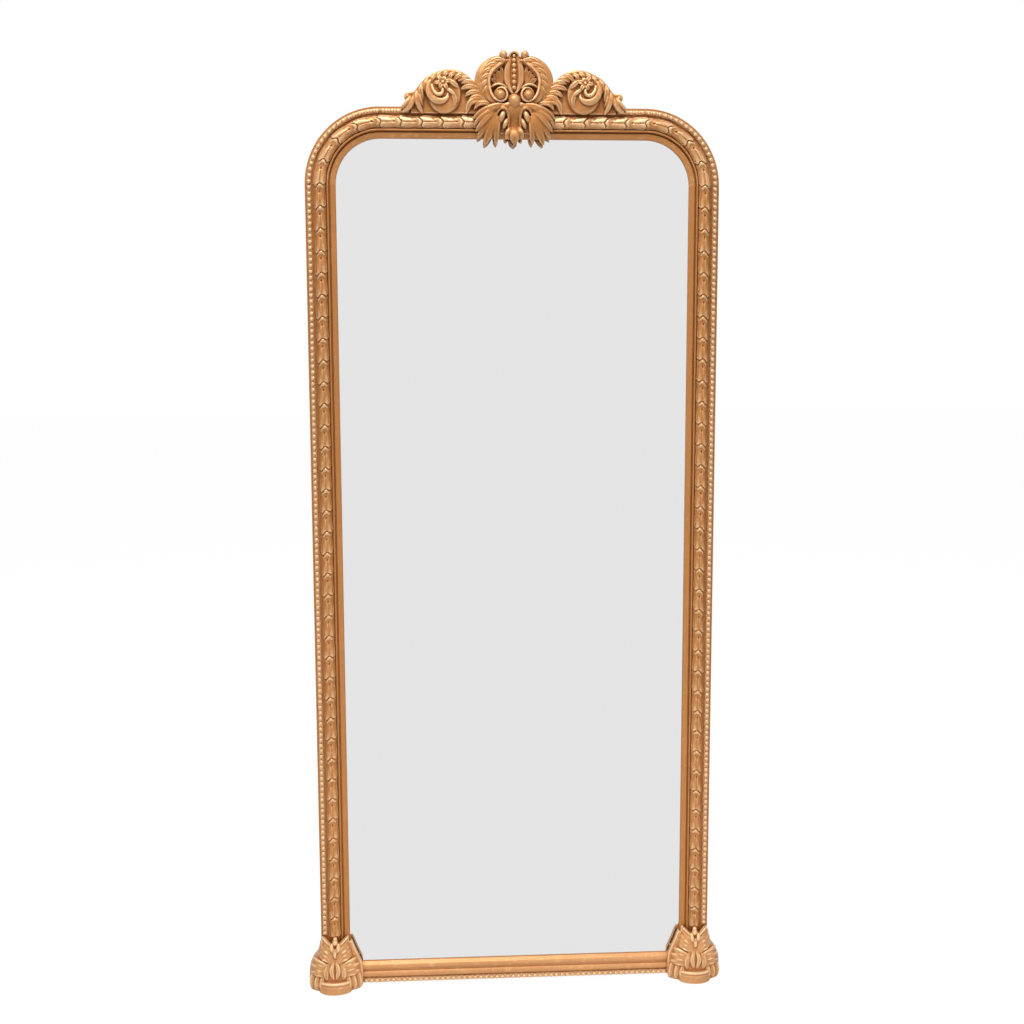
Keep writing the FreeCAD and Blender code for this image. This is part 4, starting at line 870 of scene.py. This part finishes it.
def gilding(finish, colours, tarnish_and_painted_shade):
    """Gold leaf on carving: wear and painted highlight pale on the ridges, red clay, dirt and
    painted shade in the hollows and crevices.

    The copy's painted shade below 0 is painted light.
    """
    place = finish.place()
    hollow = finish.add("ShaderNodeAttribute", {"attribute_name": HOLLOW}, None, "Fac")
    mottle = finish.noise(place, *MOTTLE)
    grain = finish.noise(place, *LEAF_GRAIN)
    # Painted shade: a darker, redder clay colour in crevices that the surroundings close in, and in
    # the carving's hollows
    painted_crevice_shade = 1 - finish.open_air(0.012).ramp(0.15, 0.85)
    dirt_and_painted_shade = (hollow.ramp(0.1, 0.9) * 0.6 + painted_crevice_shade * 0.75 + (mottle - 0.5) * 0.75
            + tarnish_and_painted_shade * 0.2).held()
    # Painted highlight: paler gold on the carving's ridges, with patches of real wear
    painted_ridge_highlight = (0 - hollow).ramp(0.3, 1.3)
    wear_and_painted_highlight = (painted_ridge_highlight * 0.65 + mottle.ramp(0.54, 0.72) * 0.34 - tarnish_and_painted_shade * 0.25).held()
    return finish.principled({
        "Base Color": gold_leaf(finish, place, colours, tarnish_and_painted_shade, grain, wear_and_painted_highlight, dirt_and_painted_shade),
        "Metallic": (1 - dirt_and_painted_shade) * GILT_METAL,
        "Specular IOR Level": GILT_SHEEN,
        "Roughness": dirt_and_painted_shade * 0.3 + 0.36 + (grain - 0.5) * 0.16 - wear_and_painted_highlight * 0.06,
        "Normal": finish.bump(grain * 0.6 + mottle * 0.4, 0.3, 0.0010),
    })


def carcass_gilding(finish, colours, tarnish_and_painted_shade):
    """Gilding on the frame's face that gives way to bare pine towards the wall."""
    place = finish.place()
    mottle = finish.noise(place, *MOTTLE)
    grain = finish.noise(finish.stretched(place, (1.0, 1.0, 0.25)), *FACE_GRAIN)
    # Painted shade: a darker, redder clay colour in the crevices between the mouldings
    painted_crevice_shade = 1 - finish.open_air(0.014).ramp(0.3, 0.95)
    dirt_and_painted_shade = (painted_crevice_shade * 0.85 + (mottle - 0.5) * 0.6 + tarnish_and_painted_shade * 0.2).held()
    wear_and_painted_highlight = (mottle.ramp(0.55, 0.72) * 0.3 - tarnish_and_painted_shade * 0.25).held()
    gilt_back = WALL_Y * MM - GILT_BACK
    bare = (finish.part(place, "Y") + (mottle - 0.5) * 0.006).ramp(gilt_back, gilt_back + 0.004)
    wood = finish.noise(finish.stretched(place, (60.0, 60.0, 4.0)), 3.0, 4.0, 0.6)
    leaf = gold_leaf(finish, place, colours, tarnish_and_painted_shade, grain, wear_and_painted_highlight, dirt_and_painted_shade)
    return finish.principled({
        "Base Color": finish.mix(bare, leaf, finish.mix(wood, colours.pine, colours.pine_grain)),
        "Metallic": (1 - dirt_and_painted_shade) * (1 - bare) * GILT_METAL,
        "Specular IOR Level": GILT_SHEEN,
        "Roughness": dirt_and_painted_shade * 0.25 + 0.38 + bare * 0.3 + (grain - 0.5) * 0.14,
        "Normal": finish.bump(grain * 0.6 + mottle * 0.4, 0.2, 0.0009),
    })


def bare_pine(finish, colours, stretch):
    """Old pine with its grain along the axis that is stretched."""
    place = finish.place()
    lengthways = finish.stretched(place, stretch)
    rings = finish.noise(lengthways, 70.0, 5.0, 0.62)
    fibre = finish.noise(lengthways, 480.0, 3.0, 0.6)
    stain = finish.noise(place, 6.0, 3.0)
    wood = finish.mix(rings.ramp(0.4, 0.62), colours.pine, colours.pine_grain)
    return finish.principled({
        "Base Color": finish.mix(stain.ramp(0.5, 0.8) * 0.4, wood, colours.pine_stain),
        "Roughness": (fibre - 0.5) * 0.2 + 0.7,
        "Normal": finish.bump(rings * 0.4 + fibre * 0.6, 0.3, 0.0006),
    })


def silvered_glass(finish, colours):
    """Mirror plate: silvered face, painted back."""
    place = finish.place()
    low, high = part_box("mirror_glass")
    middle = (low.y + high.y) / 2
    behind = finish.part(place, "Y").ramp(middle, middle + 0.0004)
    cloud = finish.noise(place, 4.0, 3.0)
    silver = finish.mix(cloud.ramp(0.35, 0.7), colours.silver, colours.silver_shade)
    return finish.principled({
        "Base Color": finish.mix(behind, silver, colours.silver_paint),
        "Metallic": 1 - behind,
        "Roughness": behind * 0.6 + 0.015,
    })


def turned_metal(finish, bright, dark, roughness):
    """Plain metal hardware with handling marks and tarnished patches."""
    place = finish.place()
    tarnish_and_painted_shade = finish.noise(place, 160.0, 4.0, 0.6)
    scratches = finish.noise(finish.stretched(place, (1.0, 1.0, 8.0)), 600.0, 2.0)
    return finish.principled({
        "Base Color": finish.mix(tarnish_and_painted_shade.ramp(0.42, 0.7), bright, dark),
        "Metallic": 0.95,
        "Roughness": tarnish_and_painted_shade.ramp(0.4, 0.7) * 0.2 + roughness + (scratches - 0.5) * 0.1,
        "Normal": finish.bump(scratches, 0.1, 0.0003),
    })


def shared_material(name, maker, *arguments):
    """A finish that several pieces share, made once."""
    made = bpy.data.materials.get(name)
    return made or maker(Finish(bpy.data.materials.new(name)), *arguments)


def gilt(wear, kind="gilding"):
    """The gilding of ornament, or of the carcass, in the piece's copy: even, darker as painted
    shade, or lighter as painted light.
    """
    maker = {"gilding": gilding, "carcass": carcass_gilding}[kind]
    colours = bpy.context.scene.pier_mirror_finishes
    return shared_material(f"{wear}_{kind}", maker, colours, PAINTED_DARKENING[wear])


def finish_nodes(material, *names):
    """Give nodes that stay as they are their finish."""
    for name in names:
        node = NODES[name]
        node.data.materials.clear()
        node.data.materials.append(material)


# Properties
def measure(label, description, value, **kind):
    """A property with a measure."""
    return FloatProperty(name=label, description=description, default=value, precision=4, **kind)


def tally(label, description, value):
    """A property with a whole number."""
    return IntProperty(name=label, description=description, default=value, min=1)


def tone(label, description, value):
    """A colour property."""
    return FloatVectorProperty(
        name=label, description=description, default=value, subtype="COLOR", size=3, min=0, max=1)


class PierMirrorSizes(bpy.types.PropertyGroup):
    """Sizes of the running ornament and of the carving."""

    leaf_radius: measure("Leaf radius", "Half-round under the carved leaves", 0.0116, unit="LENGTH")
    stile_leaves: tally("Stile leaves", "Leaves down each stile", 36)
    shoulder_leaves: tally("Shoulder leaves", "Leaves round each shoulder", 4)
    top_leaves: tally("Top leaves", "Leaves on each half of the top", 5)
    pearl_radius: measure("Pearl radius", "Radius of a pearl of the beading", 0.0045, unit="LENGTH")
    pearl_pitch: measure("Pearl pitch", "Distance between two pearls", 0.0120, unit="LENGTH")
    carving_detail: measure("Carving detail", "Finest step of the carving", 0.0009, unit="LENGTH")
    softening: tally("Softening", "How far the chisel marks are eased", 3)


class PierMirrorFinishes(bpy.types.PropertyGroup):
    """Colours of the gilding, the glass, the wood and the hardware."""

    gold: tone("Gold", "Gold leaf on the face", (0.57, 0.252, 0.090))
    deep_gold: tone("Deep gold", "Gold leaf where it is thin", (0.45, 0.190, 0.056))
    # Pale gold is also the colour of the painted highlight on ridges
    pale_gold: tone("Pale gold", "Rubbed ridges", (0.88, 0.61, 0.35))
    # Clay is also the colour of the painted shade in hollows and crevices
    clay: tone("Clay", "Red clay and dirt in the hollows", (0.30, 0.090, 0.012))
    silver: tone("Silvering", "Reflection of the glass", (0.74, 0.735, 0.74))
    silver_shade: tone("Aged silvering", "Reflection where it has aged", (0.715, 0.71, 0.715))
    silver_paint: tone("Backing paint", "Paint behind the silvering", (0.10, 0.075, 0.06))
    pine: tone("Pine", "Bare wood of the back", (0.42, 0.27, 0.14))
    pine_grain: tone("Pine grain", "Late wood of the pine", (0.26, 0.145, 0.065))
    pine_stain: tone("Pine stain", "Old stains on the back", (0.17, 0.10, 0.055))
    brass: tone("Brass", "Hanging straps and rings", (0.60, 0.43, 0.17))
    brass_shade: tone("Tarnished brass", "Tarnish on the hangers", (0.30, 0.19, 0.07))
    steel: tone("Steel", "Screws", (0.42, 0.41, 0.40))
    steel_shade: tone("Rusted steel", "Dark marks on the screws", (0.20, 0.16, 0.13))


class PierMirrorStage(bpy.types.PropertyGroup):
    """Camera, light and floor."""

    camera_x: measure("Camera x", "Camera's place across", -0.160, unit="LENGTH")
    camera_y: measure("Camera y", "Camera's place in front", -2.617, unit="LENGTH")
    camera_z: measure("Camera height", "Camera's height", 1.358, unit="LENGTH")
    pitch: measure("Pitch", "Downward tilt", math.radians(6.83), subtype="ANGLE")
    heading: measure("Heading", "Turn towards the right", math.radians(3.374), subtype="ANGLE")
    roll: measure("Roll", "Turn about the line of sight", math.radians(-0.173), subtype="ANGLE")
    lens: measure("Lens", "Focal length on a 36 mm sensor", 43.945, subtype="DISTANCE_CAMERA")
    key_power: measure("Key light", "Power of the large lamp above", 104.0, subtype="POWER")
    fill_power: measure("Fill light", "Power of each side lamp", 4.0, subtype="POWER")
    room_light: measure("Room light", "Share of light from all round", 0.26, subtype="FACTOR")
    backdrop: tone("Backdrop", "Floor and background", (1.0, 1.0, 1.0))


# Operators
class PIERMIRROR_OT_carcass(bpy.types.Operator):
    """Finish the frame, the sight slips, the crest board and the small turned pieces."""

    bl_idname = "pier_mirror.carcass"
    bl_label = "Finish the frame"

    def execute(self, context):
        # Darker copies give the stiles and their slips painted shade; lighter copies give the
        # bottom rail and small turned pieces painted light
        finish_nodes(
            gilt("mid_tone", "carcass"), "left_shoulder", "right_shoulder", "top_rail", "crest_board")
        finish_nodes(gilt("painted_dark", "carcass"), "left_stile", "right_stile")
        finish_nodes(gilt("painted_bright", "carcass"), "bottom_rail")
        finish_nodes(gilt("mid_tone"), "left_shoulder_slip", "right_shoulder_slip", "top_slip")
        finish_nodes(gilt("painted_bright"), "crest_cabochon", "crest_volute_buttons")
        finish_nodes(gilt("painted_dark"), "left_slip", "right_slip")
        return {"FINISHED"}


class PIERMIRROR_OT_back(bpy.types.Operator):
    """Finish the back boards, cross rails, battens and hidden blocks in bare pine."""

    bl_idname = "pier_mirror.back"
    bl_label = "Finish the back"

    def execute(self, context):
        colours = context.scene.pier_mirror_finishes
        upright = shared_material("pine_upright", bare_pine, colours, GRAIN_UPRIGHT)
        across = shared_material("pine_across", bare_pine, colours, GRAIN_ACROSS)
        finish_nodes(upright, "upper_back_board", "middle_back_board", "lower_back_board",
                     "crest_left_batten", "crest_right_batten", "frame_tenons", "glass_blocks")
        finish_nodes(across, "upper_cross_rail", "lower_cross_rail", "setting_blocks")
        return {"FINISHED"}


class PIERMIRROR_OT_glass(bpy.types.Operator):
    """Silver the glass."""

    bl_idname = "pier_mirror.glass"
    bl_label = "Silver the glass"

    def execute(self, context):
        colours = context.scene.pier_mirror_finishes
        finish_nodes(shared_material("silvered_glass", silvered_glass, colours), "mirror_glass")
        return {"FINISHED"}


class PIERMIRROR_OT_hardware(bpy.types.Operator):
    """Finish the hangers and the screws."""

    bl_idname = "pier_mirror.hardware"
    bl_label = "Finish the hardware"

    def execute(self, context):
        colours = context.scene.pier_mirror_finishes
        brass, steel = (shared_material(name, turned_metal, *look) for name, *look in (
            ("brassed_steel", colours.brass, colours.brass_shade, BRASS_ROUGHNESS),
            ("screw_steel", colours.steel, colours.steel_shade, STEEL_ROUGHNESS)))
        finish_nodes(brass, "left_hanger_strap", "right_hanger_strap", "left_hanger_ring",
                     "right_hanger_ring")
        finish_nodes(steel, "hanger_screws", "cross_rail_screws", "back_board_screws",
                     "crest_screws", "foot_screws")
        return {"FINISHED"}


class PIERMIRROR_OT_leaf_mouldings(bpy.types.Operator):
    """Carve the leaf mouldings of the stiles, shoulders and top."""

    bl_idname = "pier_mirror.leaf_mouldings"
    bl_label = "Carve the leaf mouldings"

    def execute(self, context):
        sizes = context.scene.pier_mirror_sizes
        crest_end = node_mm("left_top_leaf_moulding", HIGH, X)
        bend = (SHOULDER - LEAF_LINE) * math.pi / 2
        top = level_line(crest_end, -SPRING_X, FRAME_TOP, 1.0)
        # Node, line, length, leaves, height of each leaf's folded lip, and copy of the gilding
        # (painted shade on the stiles, painted light on the top)
        runs = (
            ("leaf_moulding", stile_line, STILE_LENGTH, sizes.stile_leaves, 0.15, "painted_dark"),
            ("shoulder_leaf_moulding", shoulder_line, bend, sizes.shoulder_leaves, 0.6, "mid_tone"),
            ("top_leaf_moulding", top, SPRING_X + crest_end, sizes.top_leaves, 1.1, "painted_bright"))
        for number, (name, line, length, count, lip, wear) in enumerate(runs):
            for side, flip in SIDES:
                node = f"{side}_{name}"
                seed = number * len(SIDES) + flip
                strip = leaf_strip(line, length, sizes.leaf_radius / MM, count, lip, seed)
                finished_piece(node + "_carved", strip.mesh(node, flip), node, gilt(wear))
        return {"FINISHED"}


class PIERMIRROR_OT_beadings(bpy.types.Operator):
    """Turn the pearls of the stiles, shoulders and bottom rail."""

    bl_idname = "pier_mirror.beadings"
    bl_label = "Turn the pearl beading"

    def execute(self, context):
        sizes = context.scene.pier_mirror_sizes
        crest_end = node_mm("left_shoulder_beading", HIGH, X)
        bend = (SHOULDER - PEARL_LINE) * math.pi / 2
        top_line = level_line(crest_end, -SPRING_X, FRAME_TOP, 1.0)
        rows = []
        for side, flip in SIDES:
            stile = pearl_strip(stile_line, STILE_LENGTH, PEARL_LINE, sizes, STILE_SEED + flip)
            shoulder = pearl_strip(shoulder_line, bend, PEARL_LINE, sizes, SHOULDER_SEED + flip)
            top = pearl_strip(top_line, SPRING_X + crest_end, PEARL_LINE, sizes, TOP_SEED + flip)
            shoulder.join(top.points, top.faces)
            rows += [(f"{side}_beading", stile, flip), (f"{side}_shoulder_beading", shoulder, flip)]
        start, end = (node_mm("bottom_beading", corner, X) for corner in (LOW, HIGH))
        bottom_line = level_line(start, end, node_middle("bottom_beading", Z), -1.0)
        bottom = pearl_strip(bottom_line, end - start, 0.0, sizes, BOTTOM_SEED)
        rows.append(("bottom_beading", bottom, False))
        for node, row, flip in rows:
            finished_piece(node + "_pearls", row.mesh(node, flip), node, gilt("mid_tone"))
        return {"FINISHED"}


class PIERMIRROR_OT_crest(bpy.types.Operator):
    """Carve the shell, the scrolls, the sprays and the hanging acanthus leaf."""

    bl_idname = "pier_mirror.crest"
    bl_label = "Carve the crest"

    def execute(self, context):
        sizes = context.scene.pier_mirror_sizes
        # The hanging leaf takes the darker copy as painted shade; the berries and bead string take
        # the lighter copy as painted light
        carvings = [("crest_shell", cartouche(), False, "mid_tone"),
                    ("crest_acanthus_drop", drop(), False, "painted_dark")]
        for name, carving in (("scroll", scroll()), ("spray", spray())):
            carvings += [(f"crest_{side}_{name}", carving, flip, "mid_tone") for side, flip in SIDES]
        for node, carving, flip, wear in carvings:
            mesh = carving.fused(node, sizes.carving_detail, sizes.softening, flip)
            finished_piece(node + "_carved", mesh, node, gilt(wear))
        for node, turning in (("crest_berries", berries()), ("crest_bead_string", bead_string())):
            mesh = turning.fused(node, sizes.carving_detail / 2, sizes.softening)
            finished_piece(node + "_turned", mesh, node, gilt("painted_bright"))
        return {"FINISHED"}


class PIERMIRROR_OT_feet(bpy.types.Operator):
    """Carve the two feet and their half-round plinths."""

    bl_idname = "pier_mirror.feet"
    bl_label = "Carve the feet"

    def execute(self, context):
        sizes = context.scene.pier_mirror_sizes
        # The feet and plinths take the lighter copy of the gilding: painted light
        works = (("foot", "carved", foot(), sizes.softening), ("plinth", "turned", plinth(), 1))
        for side, flip in SIDES:
            for name, craft, carving, ease in works:
                node = f"{side}_{name}"
                mesh = carving.fused(node, sizes.carving_detail, ease, flip)
                finished_piece(f"{node}_{craft}", mesh, node, gilt("painted_bright"))
        return {"FINISHED"}


class PIERMIRROR_OT_stage(bpy.types.Operator):
    """Set the pale floor, the soft light and the camera."""

    bl_idname = "pier_mirror.stage"
    bl_label = "Set the stage"

    FLOOR_HALF = 30.0      # half the floor's width, in metres
    FLOOR_TONE = 0.8       # how light the floor itself is
    FLOOR_SHINE = 1.16     # strength of the plain backdrop that covers it for the eye
    FLOOR_COVER = 0.82     # share of that backdrop; the rest keeps the shadow
    # Each lamp's name, place, aim, size, power in shares of the fill, and if the glass shows it
    FILLS = (
        ("left_fill", (-2.6, -2.4, 1.7), (0.0, 0.0, 0.9), 1.3, 1.0, True),
        ("right_fill", (2.6, -2.4, 1.7), (0.0, 0.0, 0.9), 1.3, 1.0, True),
        ("low_fill", (0.0, -1.2, 0.3), (0.0, 0.0, 0.0), 1.2, 3.0, False),
        ("back_fill", (0.0, 3.0, 2.6), (0.0, 0.0, 1.0), 2.0, 4.5, True))

    def execute(self, context):
        stage = context.scene.pier_mirror_stage
        self.floor(stage)
        self.world(stage)
        self.lamp("key", (-0.4, -1.35, 4.0), (0.0, 0.0, 1.2), 1.8, stage.key_power)
        for name, place, aim, size, share, in_glass in self.FILLS:
            self.lamp(name, place, aim, size, stage.fill_power * share, in_glass)
        self.camera(stage)
        context.scene.view_settings.view_transform = "Standard"
        return {"FINISHED"}

    def floor(self, stage):
        """A pale floor that shows its colour to the eye and in the glass, and keeps the shadow."""
        half = self.FLOOR_HALF
        mesh = bpy.data.meshes.new("floor")
        mesh.from_pydata([(-half, -half, 0), (half, -half, 0), (half, half, 0), (-half, half, 0)],
                         [], [[0, 1, 2, 3]])
        finish = Finish(bpy.data.materials.new("pale_floor"))
        eye, glossy, clear = finish.rays()
        lit = finish.add("ShaderNodeBsdfDiffuse", None, {"Color": (*[self.FLOOR_TONE] * 3, 1.0)})
        plain = finish.glow("ShaderNodeEmission", stage.backdrop, self.FLOOR_SHINE)
        mirrored = finish.glow("ShaderNodeEmission", stage.backdrop, 1.0)
        direct = finish.blend((eye + clear).held() * self.FLOOR_COVER, lit, plain)
        mesh.materials.append(finish.shown(finish.blend(glossy, direct, mirrored)))
        floor = bpy.data.objects.new("floor", mesh)
        bpy.context.scene.collection.objects.link(floor)

    def world(self, stage):
        """Even light from all round, shown as the plain backdrop."""
        finish = Finish(bpy.data.worlds.new("studio"), "ShaderNodeOutputWorld")
        eye, glossy, clear = finish.rays()
        room = finish.glow("ShaderNodeBackground", (1.0, 1.0, 1.0), stage.room_light)
        plain = finish.glow("ShaderNodeBackground", stage.backdrop, 1.0)
        seen = (eye + glossy + clear).held()
        bpy.context.scene.world = finish.shown(finish.blend(seen, room, plain))

    def lamp(self, name, place, aim, size, power, in_glass=True):
        """A square soft lamp."""
        light = bpy.data.lights.new(name, "AREA")
        light.size = size
        light.energy = power
        lamp = bpy.data.objects.new(name, light)
        lamp.location = place
        lamp.rotation_euler = (Vector(aim) - Vector(place)).to_track_quat("-Z", "Y").to_euler()
        lamp.visible_glossy = in_glass
        bpy.context.scene.collection.objects.link(lamp)

    def camera(self, stage):
        """The camera at the viewer's place."""
        lens = bpy.data.cameras.new("camera")
        lens.lens = stage.lens
        lens.sensor_width = 36.0
        lens.clip_end = 100.0
        camera = bpy.data.objects.new("camera", lens)
        place = Matrix.Translation((stage.camera_x, stage.camera_y, stage.camera_z))
        turn = (Matrix.Rotation(-stage.heading, 4, "Z")
                @ Matrix.Rotation(math.pi / 2 - stage.pitch, 4, "X")
                @ Matrix.Rotation(stage.roll, 4, "Z"))
        camera.matrix_world = place @ turn
        bpy.context.scene.collection.objects.link(camera)
        bpy.context.scene.camera = camera


OPERATORS = (
    PIERMIRROR_OT_carcass, PIERMIRROR_OT_back, PIERMIRROR_OT_glass, PIERMIRROR_OT_hardware,
    PIERMIRROR_OT_leaf_mouldings, PIERMIRROR_OT_beadings, PIERMIRROR_OT_crest, PIERMIRROR_OT_feet,
    PIERMIRROR_OT_stage)


class PIERMIRROR_PT_panel(bpy.types.Panel):
    """The steps of the mirror and what can be changed."""

    bl_idname = "PIERMIRROR_PT_panel"
    bl_label = "Pier Mirror"
    bl_space_type = "VIEW_3D"
    bl_region_type = "UI"
    bl_category = "Pier Mirror"

    def draw(self, context):
        scene = context.scene
        for operator in OPERATORS:
            self.layout.operator(operator.bl_idname)
        for group in (scene.pier_mirror_sizes, scene.pier_mirror_finishes, scene.pier_mirror_stage):
            box = self.layout.box()
            for name in group.__annotations__:
                box.prop(group, name)


CLASSES = (PierMirrorSizes, PierMirrorFinishes, PierMirrorStage, *OPERATORS, PIERMIRROR_PT_panel)


def register():
    """Add the classes and the scene's property groups."""
    for item in CLASSES:
        bpy.utils.register_class(item)
    bpy.types.Scene.pier_mirror_sizes = PointerProperty(type=PierMirrorSizes)
    bpy.types.Scene.pier_mirror_finishes = PointerProperty(type=PierMirrorFinishes)
    bpy.types.Scene.pier_mirror_stage = PointerProperty(type=PierMirrorStage)


def unregister():
    """Take away what register added."""
    del bpy.types.Scene.pier_mirror_stage
    del bpy.types.Scene.pier_mirror_finishes
    del bpy.types.Scene.pier_mirror_sizes
    for item in reversed(CLASSES):
        bpy.utils.unregister_class(item)


def main():
    """Make every piece in turn."""
    register()
    for operator in OPERATORS:
        area, name = operator.bl_idname.split(".")
        getattr(getattr(bpy.ops, area), name)()


if __name__ == "__main__":
    main()
